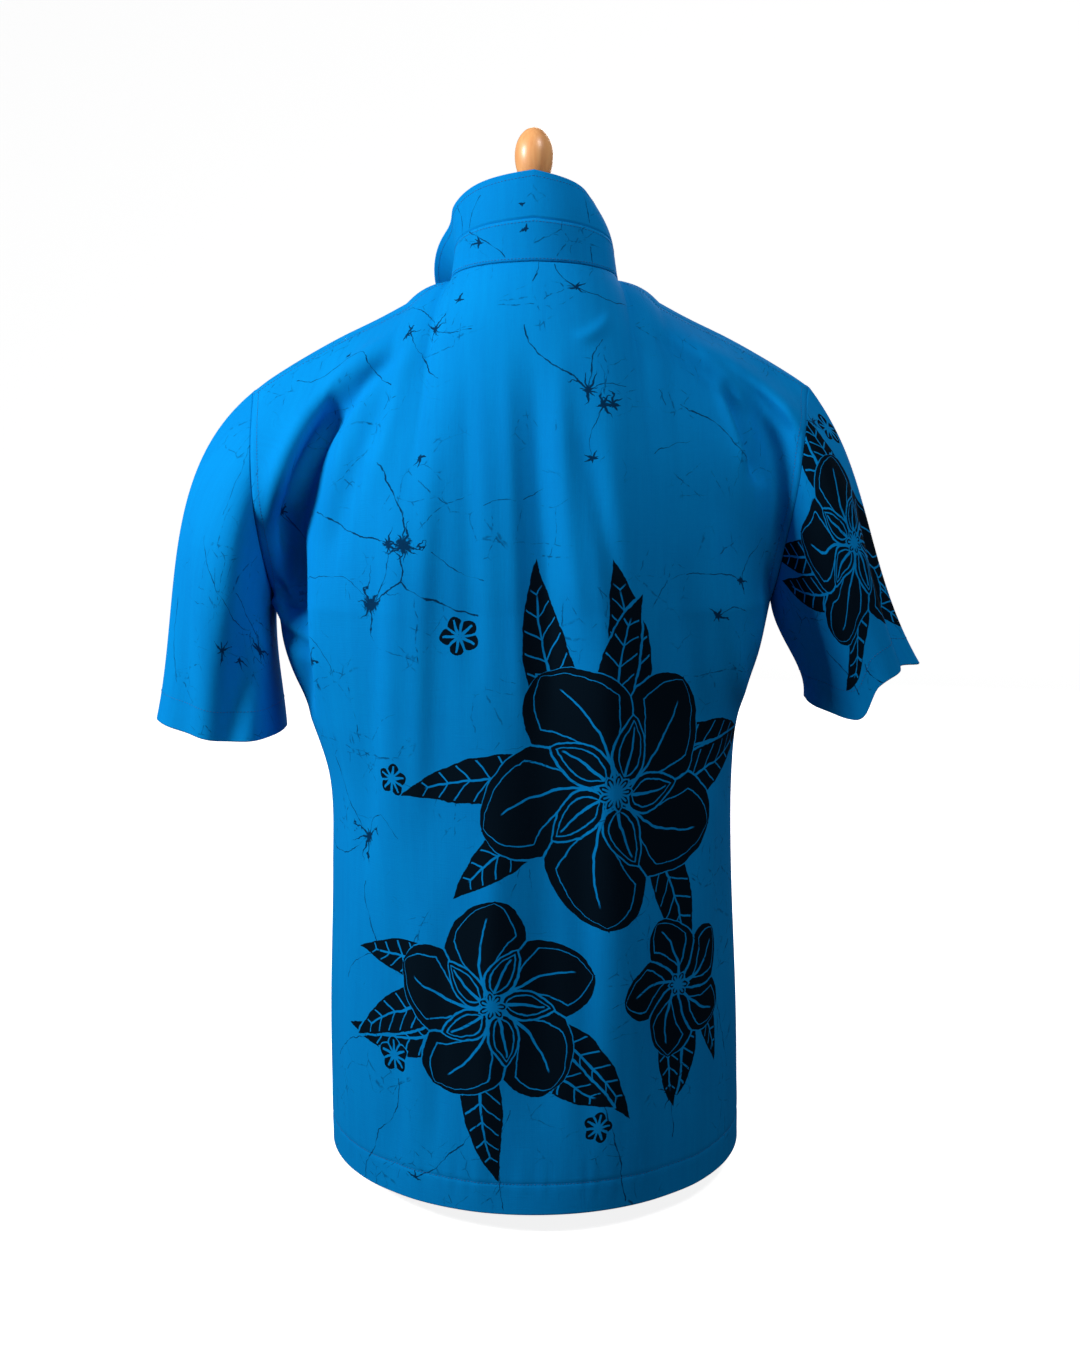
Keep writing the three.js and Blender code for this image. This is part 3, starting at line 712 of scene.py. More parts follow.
@dataclass
class Shirt:
    """The shirt: its body, sleeves, collar and stitching."""

    body: BodyCut = field(default_factory=BodyCut)
    collar: CollarCut = field(default_factory=CollarCut)
    hem_depth: float = 25.0
    allowance: float = 3.5
    sleeve_length: float = 290.0
    low_step: float = 3.6
    high_rows: int = 84
    half_columns: int = 84

    def rows(self) -> Array:
        """Return the rows of a body panel, close together at the hem."""
        low = np.arange(HEM_ROWS[-1] + self.low_step, ARMPIT_UP - 1, self.low_step)
        return np.concatenate([HEM_ROWS, low, [ARMPIT_UP]]) / ARMPIT_UP

    def all_rows(self) -> Array:
        """Return the rows of a whole body panel, from the hem to the top."""
        high = 1 + np.linspace(0, 1, self.high_rows)[1:] ** 0.95
        return np.concatenate([self.rows(), high])

    def half(self) -> Array:
        """Return the columns from a panel's centre to its side, with one at the neck's corner."""
        corner = self.body.neck.share
        neck = np.linspace(0, corner, round(self.half_columns * 0.36) + 1)
        shoulder = np.linspace(corner, 1, round(self.half_columns * 0.64) + 1)
        return np.concatenate([neck, shoulder[1:]])

    def back(self) -> Cloth:
        """Return the back, from the wearer's left side to the right one."""
        s = self.half()
        v = self.all_rows()
        left = self.body.point(Panel.BACK, Side.LEFT, *np.meshgrid(s[::-1], v, indexing="ij"))
        right = self.body.point(Panel.BACK, Side.RIGHT, *np.meshgrid(s[1:], v, indexing="ij"))
        points = np.concatenate([left, right])
        return self.hemmed("back", points, len(s) - 1)

    def front(self, side: Side) -> Cloth:
        """Return one front, from the wearer's right to the left."""
        lap = np.linspace(-self.body.overlap, 0, 7)[:-1]
        s = np.concatenate([lap, self.half()])
        centre = len(lap)
        if side is Side.RIGHT:
            s = s[::-1]
            centre = len(s) - 1 - centre
        points = self.body.point(Panel.FRONT, side, *np.meshgrid(s, self.all_rows(), indexing="ij"))
        return self.hemmed(f"front_{side.name.lower()}", points, centre)

    def hemmed(self, name: str, points: Array, centre: int) -> Cloth:
        """Return a body panel with its fine folds, its seams' puckers and its hem turned under."""
        folds = FINE_BACK_FOLDS if name == "back" else FINE_FRONT_FOLDS
        normal = normals_of(points)
        up = points[..., 2] - HEM_Z
        across = arc_lengths(points, 0, centre) / MM
        edge = np.minimum(np.abs(across - across[:1]), np.abs(across - across[-1:]))
        top = points[:, -1:, 2] - HEM_Z - up
        free = smoothstep(edge, 2, 16) * smoothstep(top, 3, 24)
        shift = free * folded(folds, points[..., 0], up)
        shift += 0.45 * free * ripple(across, up) * (smoothstep(up, 8, 22) * (1 - smoothstep(up, 26, 60)))
        shift -= 0.5 * np.exp(-(((up - self.hem_depth) / 1.1) ** 2))
        shaped = points + normal * shift[..., None]
        turned = turned_hem(shaped, normals_of(shaped))
        return Cloth(name, turned, centre, first_row=TURNED_ROWS + 1)

    def sleeve(self, cut: SleeveCut) -> Cloth:
        """Return one sleeve, from its hem up to the seam allowance inside the armhole."""
        turns = np.linspace(0, 1, 133)
        if cut.side is Side.LEFT:
            turns = turns[::-1]
        length = self.sleeve_length
        low = np.arange(HEM_ROWS[-1] + self.low_step, length, self.low_step)
        along = 1 - np.concatenate([HEM_ROWS, low, [length]]) / length
        points = cut.point(self.body, *np.meshgrid(turns, along, indexing="ij"))
        normal = normals_of(points, tube=True)
        seam = points[:, -1:]
        way = seam - points[:, -2:-1]
        way /= np.linalg.norm(way, axis=-1, keepdims=True)
        allowance = [
            seam - inwards * normal[:, -1:] + onwards * way
            for inwards, onwards in ((1.1, 0.2), (1.4, self.allowance))
        ]
        turned = np.concatenate([turned_hem(points, normal), *allowance], axis=1)
        name = f"sleeve_{cut.side.name.lower()}"
        return Cloth(name, turned, len(turns) // 2, tube=True, first_row=TURNED_ROWS + 1)

    def stand(self) -> Cloth:
        """Return the collar's stand."""
        angles = np.linspace(self.body.neck.edge_angle, -self.body.neck.edge_angle, 241)
        points = self.collar.stand(*np.meshgrid(angles, np.linspace(0, 1, 17), indexing="ij"))
        return Cloth("collar_stand", points, 120, wall=1.6)

    def leaf(self) -> Cloth:
        """Return the collar's leaf."""
        shares = np.linspace(1, -1, 241)
        rises = np.linspace(0, 1, 37)
        points = self.collar.leaf(*np.meshgrid(shares, rises, indexing="ij"))
        tucked = points[:, :2] - 1.0 * normals_of(points)[:, :2]
        tucked[..., 2] -= np.array([2.6, 1.2])
        points = np.concatenate([tucked, points[:, 1:]], axis=1)
        return Cloth("collar_leaf", points, 120, wall=1.4, first_row=2)

    def stitches(self, cloths: dict[str, Cloth]) -> "Stitching":
        """Return the stitches of every hem, seam and edge.

        Args:
            cloths: The pieces by name.

        Returns:
            The rows of stitches, not built yet.
        """
        rows = Stitching()
        for name in ("back", "front_left", "front_right", "sleeve_left", "sleeve_right"):
            rows.along(cloths[name], self.hem_depth)
        for edge in (0, -1):
            rows.beside(cloths["back"], edge, 6.0, slice(150, -3))
        rows.beside(cloths["front_left"], 0, 5.0, slice(12, -2))
        rows.beside(cloths["front_right"], -1, 5.0, slice(12, -2))
        rows.along(cloths["collar_stand"], 2.2)
        rows.below_top(cloths["collar_stand"], 2.2, slice(2, -2))
        rows.leaf_edge(cloths["collar_leaf"], 5.5)
        for columns in (slice(0, 54), slice(-54, None)):
            rows.below_top(cloths["back"], 6.0, columns)
        return rows


# ---------------------------------------------------------------- node graphs


class Graph:
    """A node tree that is written as plain calls, each of which returns a socket."""

    def __init__(self, tree: bpy.types.NodeTree) -> None:
        """Start writing in a tree.

        Args:
            tree: The material's or the group's tree.
        """
        self.tree = tree

    def node(self, kind: str, **settings: object) -> bpy.types.Node:
        """Add a node and set its properties."""
        node = self.tree.nodes.new(kind)
        for name, value in settings.items():
            setattr(node, name, value)
        return node

    def feed(self, socket: Socket, value: Given) -> None:
        """Link a socket to another one, or set its value."""
        if isinstance(value, bpy.types.NodeSocket):
            self.tree.links.new(value, socket)
        else:
            socket.default_value = value

    def math(self, operation: str, *values: Given, clamp: bool = False) -> Socket:
        """Add a sum of plain numbers."""
        node = self.node("ShaderNodeMath", operation=operation, use_clamp=clamp)
        for socket, value in zip(node.inputs, values):
            self.feed(socket, value)
        return node.outputs[0]

    def vector(self, operation: str, *values: Given) -> Socket:
        """Add a sum of vectors. SCALE takes a vector and a number."""
        node = self.node("ShaderNodeVectorMath", operation=operation)
        places = (0, 3) if operation == "SCALE" else (0, 1, 2)
        for place, value in zip(places, values):
            self.feed(node.inputs[place], value)
        return node.outputs[1 if operation in ("LENGTH", "DOT_PRODUCT", "DISTANCE") else 0]

    def split(self, vector: Given) -> tuple[Socket, Socket, Socket]:
        """Return a vector's three parts."""
        node = self.node("ShaderNodeSeparateXYZ")
        self.feed(node.inputs[0], vector)
        return tuple(node.outputs)

    def joined(self, x: Given, y: Given, z: Given = 0.0) -> Socket:
        """Return a vector made from three numbers."""
        node = self.node("ShaderNodeCombineXYZ")
        for socket, value in zip(node.inputs, (x, y, z)):
            self.feed(socket, value)
        return node.outputs[0]

    def noise(self, vector: Given, scale: Given, detail: float = 2.0, colour: bool = False) -> Socket:
        """Add soft noise, as a number or as a colour."""
        node = self.node("ShaderNodeTexNoise")
        self.feed(node.inputs["Vector"], vector)
        self.feed(node.inputs["Scale"], scale)
        self.feed(node.inputs["Detail"], detail)
        return node.outputs[1 if colour else 0]

    def chance(self, value: Given) -> Socket:
        """Return a number from 0 to 1 that depends on another one with no pattern."""
        node = self.node("ShaderNodeTexWhiteNoise", noise_dimensions="1D")
        self.feed(node.inputs["W"], value)
        return node.outputs["Value"]

    def ease(self, value: Given, low: Given, high: Given) -> Socket:
        """Rise smoothly from 0 at low to 1 at high."""
        node = self.node("ShaderNodeMapRange", interpolation_type="SMOOTHSTEP")
        for label, given in (("Value", value), ("From Min", low), ("From Max", high)):
            self.feed(node.inputs[label], given)
        return node.outputs[0]

    def less(self, value: Given) -> Socket:
        """Return what is left of 1."""
        return self.math("SUBTRACT", 1.0, value)

    def mix(self, share: Given, first: Given, second: Given) -> Socket:
        """Mix two colours."""
        node = self.node("ShaderNodeMix", data_type="RGBA")
        for place, value in ((0, share), (6, first), (7, second)):
            self.feed(node.inputs[place], value)
        return node.outputs[2]

    def use(self, tree: bpy.types.NodeTree, **values: Given) -> bpy.types.Node:
        """Add a shared group and feed its named sockets."""
        node = self.node("ShaderNodeGroup", node_tree=tree)
        for label, value in values.items():
            self.feed(node.inputs[label], value)
        return node


def shared(name: str, given: dict[str, str], made: tuple[str, ...], write: Writer) -> bpy.types.NodeTree:
    """Return a shared node group, which is written the first time that it is asked for.

    Args:
        name: The group's name.
        given: The kind of each input socket, by label.
        made: The labels of the outputs, which are all numbers.
        write: Writes the group's nodes, and returns its outputs by label.

    Returns:
        The group's tree.
    """
    tree = bpy.data.node_groups.get(name)
    if tree is not None:
        return tree
    tree = bpy.data.node_groups.new(name, "ShaderNodeTree")
    for label, kind in given.items():
        tree.interface.new_socket(label, in_out="INPUT", socket_type=f"NodeSocket{kind}")
    for label in made:
        tree.interface.new_socket(label, in_out="OUTPUT", socket_type="NodeSocketFloat")
    graph = Graph(tree)
    source = graph.node("NodeGroupInput").outputs
    sink = graph.node("NodeGroupOutput").inputs
    for label, value in write(graph, source).items():
        graph.feed(sink[label], value)
    return tree


def place_of(spot: Spot) -> tuple[float, float, float]:
    """Return a place on the flat cloth in metres from one in millimetres."""
    return (spot[0] * MM, spot[1] * MM, 0.0)


@dataclass(frozen=True)
class Crack:
    """A long fine crack in the wax, that bows to one side."""

    start: Spot
    end: Spot
    bow: float = 0.0
    width: float = 1.0

    def box(self) -> tuple[Array, Array]:
        """Return the corners of what it can reach."""
        ends = np.array([self.start, self.end])
        room = 14 + abs(self.bow)
        return ends.min(0) - room, ends.max(0) + room

    def mask(self, graph: Graph, cloth: Socket) -> Socket:
        """Add the crack to a graph and return where it is dark."""
        given = {"Cloth": "Vector", "Start": "Vector", "End": "Vector", "Bow": "Float", "Width": "Float"}
        return graph.use(
            shared("Crack", given, ("Mask",), self.write),
            Cloth=cloth,
            Start=place_of(self.start),
            End=place_of(self.end),
            Bow=self.bow * MM,
            Width=self.width * MM,
        ).outputs["Mask"]

    @staticmethod
    def write(graph: Graph, given: Sockets) -> dict[str, Socket]:
        """Write the group: the distance to a bowed line, whose width comes and goes."""
        along = graph.vector("SUBTRACT", given["End"], given["Start"])
        away = graph.vector("SUBTRACT", given["Cloth"], given["Start"])
        length = graph.vector("LENGTH", along)
        course = graph.math("DIVIDE", graph.vector("DOT_PRODUCT", away, along), length)
        share = graph.math("DIVIDE", course, length, clamp=True)
        beyond = graph.math("SUBTRACT", course, graph.math("MULTIPLY", share, length))
        across = graph.split(graph.vector("CROSS_PRODUCT", along, away))[2]
        side = graph.math("DIVIDE", across, length)
        arch = graph.math("MULTIPLY", graph.math("MULTIPLY", share, graph.less(share)), 4.0)
        off = graph.math("SUBTRACT", side, graph.math("MULTIPLY", arch, given["Bow"]))
        distance = graph.vector("LENGTH", graph.joined(off, beyond))
        wear = graph.ease(graph.noise(given["Cloth"], 70.0), 0.3, 0.62)
        width = graph.math("MULTIPLY", given["Width"], graph.math("MULTIPLY_ADD", wear, 0.75, 0.25))
        mask = graph.less(graph.ease(distance, graph.math("MULTIPLY", width, 0.3), width))
        return {"Mask": graph.math("MULTIPLY", mask, graph.math("MULTIPLY_ADD", wear, 0.4, 0.6))}


@dataclass(frozen=True)
class Knot:
    """A place where the wax was crushed: a dark spot with broken arms."""

    centre: Spot
    reach: float = 14.0
    arms: float = 7.0
    seed: float = 1.0

    def box(self) -> tuple[Array, Array]:
        """Return the corners of what it can reach."""
        room = 14 + self.reach
        return np.array(self.centre) - room, np.array(self.centre) + room

    def mask(self, graph: Graph, cloth: Socket) -> Socket:
        """Add the knot to a graph and return where it is dark."""
        given = {"Cloth": "Vector", "Centre": "Vector", "Reach": "Float", "Arms": "Float", "Seed": "Float"}
        return graph.use(
            shared("Knot", given, ("Mask",), self.write),
            Cloth=cloth,
            Centre=place_of(self.centre),
            Reach=self.reach * MM,
            Arms=self.arms,
            Seed=self.seed,
        ).outputs["Mask"]

    @staticmethod
    def write(graph: Graph, given: Sockets) -> dict[str, Socket]:
        """Write the group: arms of uneven length round an uneven spot."""
        away = graph.vector("SUBTRACT", given["Cloth"], given["Centre"])
        x, y, _ = graph.split(away)
        radius = graph.vector("LENGTH", away)
        swirl = graph.math("MULTIPLY_ADD", graph.noise(given["Cloth"], 95.0), 1.4, -0.7)
        angle = graph.math("ADD", graph.math("ARCTAN2", y, x), swirl)
        turns = graph.math("MULTIPLY_ADD", angle, 1 / math.tau, 0.5)
        cells = graph.math("MULTIPLY", turns, given["Arms"])
        cell = graph.math("ADD", graph.math("FLOOR", cells), graph.math("MULTIPLY", given["Seed"], 31.7))
        lean = graph.math("MULTIPLY_ADD", graph.chance(graph.math("ADD", cell, 0.37)), 0.5, -0.25)
        middle = graph.math("SUBTRACT", graph.math("SUBTRACT", graph.math("FRACT", cells), 0.5), lean)
        pitch = graph.math("DIVIDE", graph.math("MULTIPLY", radius, math.tau), given["Arms"])
        off = graph.math("MULTIPLY", graph.math("ABSOLUTE", middle), pitch)
        share = graph.math("MULTIPLY_ADD", graph.chance(cell), 0.85, 0.15)
        arm = graph.math("MULTIPLY", given["Reach"], share)
        left = graph.less(graph.math("DIVIDE", radius, arm, clamp=True))
        width = graph.math("MULTIPLY_ADD", left, 0.0019, 0.0002)
        line = graph.less(graph.ease(off, graph.math("MULTIPLY", width, 0.4), width))
        lines = graph.math("MULTIPLY", line, graph.ease(left, 0.0, 0.15))
        uneven = graph.math("MULTIPLY", graph.noise(given["Cloth"], 420.0), 0.42)
        edge = graph.math("MULTIPLY", given["Reach"], uneven)
        spot = graph.less(graph.ease(radius, graph.math("MULTIPLY", edge, 0.6), edge))
        return {"Mask": graph.math("MAXIMUM", lines, spot)}


@dataclass(frozen=True)
class Rosette:
    """A painted ring of petals or leaves, drawn in fine lines that the wax kept blue.

    Attributes:
        centre: Its middle.
        inner: Where its petals start.
        outer: Where they end.
        petals: How many there are; one makes a single leaf.
        width: Half a petal's width.
        angle: Which way its first petal points, in degrees.
        point: How pointed the petals are; small numbers make them round.
        twist: How far they bend, in radians over the whole radius.
        veins: How many veins each one has on a side.
        shape: Where a petal is widest; less than one is nearer to its tip.
        contour: How far inside its edge a second outline lies, as a share of the width.
    """

    centre: Spot
    outer: float
    width: float
    petals: float = 1.0
    inner: float = 3.0
    angle: float = 0.0
    point: float = 1.0
    twist: float = 0.0
    veins: float = 7.0
    shape: float = 0.85
    contour: float = 0.0

    def box(self) -> tuple[Array, Array]:
        """Return the corners of what it can reach."""
        return np.array(self.centre) - self.outer - 12, np.array(self.centre) + self.outer + 12

    def layer(self, graph: Graph, cloth: Socket) -> tuple[Socket, Socket]:
        """Add the ring to a graph.

        Args:
            graph: The material's graph.
            cloth: The place on the flat cloth.

        Returns:
            Where it is dark, and where it covers what lies under it.
        """
        labels = ("Inner", "Outer", "Width", "Petals", "Angle", "Point", "Twist", "Veins", "Shape", "Contour")
        given = {"Cloth": "Vector", "Centre": "Vector"} | {label: "Float" for label in labels}
        node = graph.use(
            shared("Rosette", given, ("Ink", "Cover"), self.write),
            Cloth=cloth,
            Centre=place_of(self.centre),
            Inner=self.inner * MM,
            Outer=self.outer * MM,
            Width=self.width * MM,
            Petals=self.petals,
            Angle=math.radians(self.angle),
            Point=self.point,
            Twist=self.twist,
            Veins=self.veins,
            Shape=self.shape,
            Contour=self.contour,
        )
        return node.outputs["Ink"], node.outputs["Cover"]

    @staticmethod
    def write(graph: Graph, given: Sockets) -> dict[str, Socket]:
        """Write the group: how far inside its petal's edge each place is, then the kept lines."""
        away = graph.vector("SUBTRACT", given["Cloth"], given["Centre"])
        x, y, _ = graph.split(away)
        radius = graph.vector("LENGTH", away)
        bend = graph.math("MULTIPLY", given["Twist"], graph.math("DIVIDE", radius, given["Outer"]))
        angle = graph.math("SUBTRACT", graph.math("ADD", graph.math("ARCTAN2", y, x), bend), given["Angle"])
        turns = graph.math("MULTIPLY", angle, 1 / math.tau)
        cells = graph.math("ADD", graph.math("MULTIPLY", turns, given["Petals"]), 0.5)
        middle = graph.math("SUBTRACT", graph.math("FRACT", cells), 0.5)
        pitch = graph.math("DIVIDE", graph.math("MULTIPLY", radius, math.tau), given["Petals"])
        off = graph.math("MULTIPLY", graph.math("ABSOLUTE", middle), pitch)
        length = graph.math("SUBTRACT", given["Outer"], given["Inner"])
        share = graph.math("DIVIDE", graph.math("SUBTRACT", radius, given["Inner"]), length)
        on = graph.math("MINIMUM", graph.math("MAXIMUM", share, 0.0001), 0.9999)
        arch = graph.math("SINE", graph.math("MULTIPLY", graph.math("POWER", on, given["Shape"]), math.pi))
        half = graph.math("MULTIPLY", graph.math("POWER", arch, given["Point"]), given["Width"])
        room = graph.math("SUBTRACT", graph.math("MULTIPLY", pitch, 0.5), 0.0009)
        inside = graph.math("SUBTRACT", graph.math("MINIMUM", half, room), off)
        past = graph.math("MULTIPLY", graph.math("ABSOLUTE", graph.math("SUBTRACT", share, on)), length)
        inside = graph.math("SUBTRACT", inside, past)
        rough = graph.math("MULTIPLY_ADD", graph.noise(given["Cloth"], 260.0), 0.0012, -0.0006)
        inside = graph.math("ADD", inside, rough)
        fill = graph.ease(inside, -0.0002, 0.0003)
        cover = graph.ease(inside, -0.0022, -0.0018)
        rib_width = graph.math("MULTIPLY_ADD", graph.less(on), 0.0008, 0.0004)
        rib = graph.less(graph.ease(off, rib_width, graph.math("ADD", rib_width, 0.0004)))
        ribbed = graph.math("MULTIPLY", graph.ease(on, 0.04, 0.06), graph.less(graph.ease(on, 0.8, 0.84)))
        rib = graph.math("MULTIPLY", rib, ribbed)
        slant = graph.math("MULTIPLY", graph.math("DIVIDE", off, given["Width"]), 0.13)
        ladder = graph.math("MULTIPLY", graph.math("SUBTRACT", on, slant), given["Veins"])
        rung = graph.math("ABSOLUTE", graph.math("SUBTRACT", graph.math("FRACT", ladder), 0.5))
        thick = graph.math("DIVIDE", graph.math("MULTIPLY", given["Veins"], 0.0006), length)
        vein = graph.less(graph.ease(rung, thick, graph.math("MULTIPLY", thick, 1.6)))
        within = graph.math("MULTIPLY", graph.ease(inside, 0.0018, 0.0022), graph.ease(on, 0.1, 0.14))
        vein = graph.math("MULTIPLY", vein, within)
        vein = graph.math("MULTIPLY", vein, graph.less(graph.ease(on, 0.84, 0.88)))
        vein = graph.math("MULTIPLY", vein, graph.math("GREATER_THAN", given["Veins"], 0.5))
        ring = graph.math("MULTIPLY", given["Width"], given["Contour"])
        depth = graph.math("ABSOLUTE", graph.math("SUBTRACT", inside, ring))
        contour = graph.less(graph.ease(depth, 0.0004, 0.0009))
        contour = graph.math("MULTIPLY", contour, graph.math("GREATER_THAN", given["Contour"], 0.01))
        kept = graph.math("MAXIMUM", graph.math("MAXIMUM", rib, vein), contour)
        return {"Ink": graph.math("MULTIPLY", fill, graph.less(kept)), "Cover": cover}


def blossom(centre: Spot, outer: float, width: float, **rest: float) -> Rosette:
    """Return a ring of five broad petals with no veins.

    Args:
        centre: Its middle.
        outer: Where its petals end.
        width: Half a petal's width.
        rest: The rosette's other fields.

    Returns:
        The ring.
    """
    return Rosette(centre, outer, width, petals=5, point=0.5, shape=1.25, veins=0, **rest)


@dataclass(frozen=True)
class Marks:
    """What is on one piece of cloth: its crackle and its painted motifs."""

    cracks: tuple[Crack, ...] = ()
    knots: tuple[Knot, ...] = ()
    motifs: tuple[Rosette, ...] = ()
    seed: float = 0.0

    def within(self, low: Array, high: Array) -> "Marks":
        """Return only the marks that reach into a box.

        Args:
            low: The box's lower corner, in millimetres of cloth.
            high: Its upper corner.

        Returns:
            The marks there.
        """

        def near(marks: tuple) -> tuple:
            """Return those of some marks that reach into the box."""
            boxes = [(mark, *mark.box()) for mark in marks]
            return tuple(m for m, a, b in boxes if np.all(a < high) and np.all(b > low))

        return replace(self, cracks=near(self.cracks), knots=near(self.knots), motifs=near(self.motifs))


@dataclass(frozen=True)
class Batik:
    """Plain-weave cotton, dyed blue over wax."""

    blue: tuple = (0.0002, 0.246, 0.640, 1)
    deep: tuple = (0.0003, 0.180, 0.525, 1)
    crackle: tuple = (0.0004, 0.0085, 0.036, 1)
    navy: tuple = (0.0010, 0.0060, 0.0130, 1)
    roughness: float = 0.86
    shine: float = 0.03
    tile: float = 190.0
    crowd: int = 24

    def dress(self, piece: bpy.types.Object, marks: Marks) -> None:
        """Dye a piece of cloth, in tiles where it has many marks.

        Args:
            piece: The piece, with its map of the flat cloth.
            marks: What is on it.
        """
        mesh = piece.data
        uv = np.empty(2 * len(mesh.loops))
        mesh.uv_layers["Cloth"].data.foreach_get("uv", uv)
        starts = np.array([polygon.loop_start for polygon in mesh.polygons])
        places = uv.reshape(-1, 2)[starts] / MM
        many = len(marks.cracks) + len(marks.knots) + len(marks.motifs) > self.crowd
        cells = np.floor(places / self.tile) if many else np.zeros_like(places)
        kinds, which = np.unique(cells, axis=0, return_inverse=True)
        for i, cell in enumerate(kinds):
            low = cell * self.tile - 4
            held = marks.within(low, low + self.tile + 8) if many else marks
            mesh.materials.append(self.material(f"{piece.name}_{i}", held))
        mesh.polygons.foreach_set("material_index", which.ravel().astype(int).tolist())

    def material(self, name: str, marks: Marks) -> bpy.types.Material:
        """Return the cloth of one piece.

        Args:
            name: The material's name.
            marks: The crackle and the motifs on it.

        Returns:
            A material that reads the piece's map of the flat cloth.
        """
        material = bpy.data.materials.new(name)
        material.use_nodes = True
        graph = Graph(material.node_tree)
        shader = material.node_tree.nodes["Principled BSDF"]
        cloth = graph.node("ShaderNodeUVMap", uv_map="Cloth").outputs[0]
        spot = graph.vector("ADD", cloth, (marks.seed, 0.0, 0.0))
        dark = self.crackled(graph, cloth, spot, marks)
        threads = shared("Weave", {"Cloth": "Vector"}, ("Tone", "Height"), self.write_weave)
        weave = graph.use(threads, Cloth=spot)
        colour = graph.mix(weave.outputs["Tone"], self.deep, self.blue)
        colour = graph.mix(dark, colour, self.crackle)
        colour = graph.mix(self.painted(graph, cloth, marks), colour, self.navy)
        bump = graph.node("ShaderNodeBump")
        graph.feed(bump.inputs["Height"], weave.outputs["Height"])
        bump.inputs["Distance"].default_value = 0.00025
        bump.inputs["Strength"].default_value = 0.5
        graph.feed(shader.inputs["Base Color"], colour)
        graph.feed(shader.inputs["Normal"], bump.outputs[0])
        shader.inputs["Roughness"].default_value = self.roughness
        shader.inputs["Specular IOR Level"].default_value = self.shine
        return material

    @staticmethod
    def write_weave(graph: Graph, given: Sockets) -> dict[str, Socket]:
        """Write the group: slubs along both threads, and slow changes of the dye."""
        warp = graph.noise(graph.vector("MULTIPLY", given["Cloth"], (1400.0, 45.0, 1.0)), 1.0)
        weft = graph.noise(graph.vector("MULTIPLY", given["Cloth"], (45.0, 1400.0, 1.0)), 1.0)
        streak = graph.noise(graph.vector("MULTIPLY", given["Cloth"], (160.0, 9.0, 1.0)), 1.0)
        cloud = graph.noise(given["Cloth"], 9.0, 3.0)
        fine = graph.math("ADD", graph.math("MULTIPLY", warp, 0.42), graph.math("MULTIPLY", weft, 0.3))
        slow = graph.math("ADD", graph.math("MULTIPLY", streak, 0.5), graph.math("MULTIPLY", cloud, 0.9))
        tone = graph.math("SUBTRACT", graph.math("ADD", fine, slow), 0.5)
        return {"Tone": tone, "Height": graph.math("ADD", warp, weft)}

    @staticmethod
    def write_veins(graph: Graph, given: Sockets) -> dict[str, Socket]:
        """Write the group: a net of hair cracks that shows only here and there."""
        net = graph.node("ShaderNodeTexVoronoi", feature="DISTANCE_TO_EDGE")
        graph.feed(net.inputs["Vector"], given["Cloth"])
        graph.feed(net.inputs["Scale"], given["Scale"])
        distance = graph.math("DIVIDE", net.outputs["Distance"], given["Scale"])
        line = graph.less(graph.ease(distance, 0.0001, 0.00055))
        shown = graph.ease(graph.noise(given["Cloth"], 17.0, 1.0), 0.50, 0.60)
        broken = graph.ease(graph.noise(given["Cloth"], 150.0), 0.42, 0.6)
        return {"Mask": graph.math("MULTIPLY", line, graph.math("MULTIPLY", shown, broken))}

    def crackled(self, graph: Graph, cloth: Socket, spot: Socket, marks: Marks) -> Socket:
        """Return where the cracks in the wax let dye through."""
        sway = graph.vector("SUBTRACT", graph.noise(spot, 38.0, 2.0, colour=True), (0.5, 0.5, 0.5))
        shake = graph.vector("SUBTRACT", graph.noise(spot, 260.0, 1.0, colour=True), (0.5, 0.5, 0.5))
        warp = graph.vector("ADD", graph.vector("SCALE", sway, 0.011), graph.vector("SCALE", shake, 0.0016))
        flat = graph.vector("MULTIPLY", warp, (1.0, 1.0, 0.0))
        wobbly = graph.vector("ADD", cloth, flat)
        veins = shared("Veins", {"Cloth": "Vector", "Scale": "Float"}, ("Mask",), self.write_veins)
        netted = graph.vector("ADD", spot, flat)
        dark = graph.math("MULTIPLY", graph.use(veins, Cloth=netted, Scale=16.0).outputs[0], 0.8)
        fine = graph.math("MULTIPLY", graph.use(veins, Cloth=netted, Scale=37.0).outputs[0], 0.5)
        dark = graph.math("MAXIMUM", dark, fine)
        for mark in (*marks.cracks, *marks.knots):
            dark = graph.math("MAXIMUM", dark, mark.mask(graph, wobbly))
        return graph.math("MULTIPLY", dark, 0.9)

    def painted(self, graph: Graph, cloth: Socket, marks: Marks) -> Given:
        """Return where the motifs are dark. Each one covers those before it."""
        shake = graph.vector("SUBTRACT", graph.noise(cloth, 55.0, 2.0, colour=True), (0.5, 0.5, 0.5))
        drawn = graph.vector("ADD", cloth, graph.vector("MULTIPLY", shake, (0.005, 0.005, 0.0)))
        ink: Given = 0.0
        for motif in marks.motifs:
            top, cover = motif.layer(graph, drawn)
            ink = graph.math("MAXIMUM", graph.math("MULTIPLY", ink, graph.less(cover)), top)
        return ink


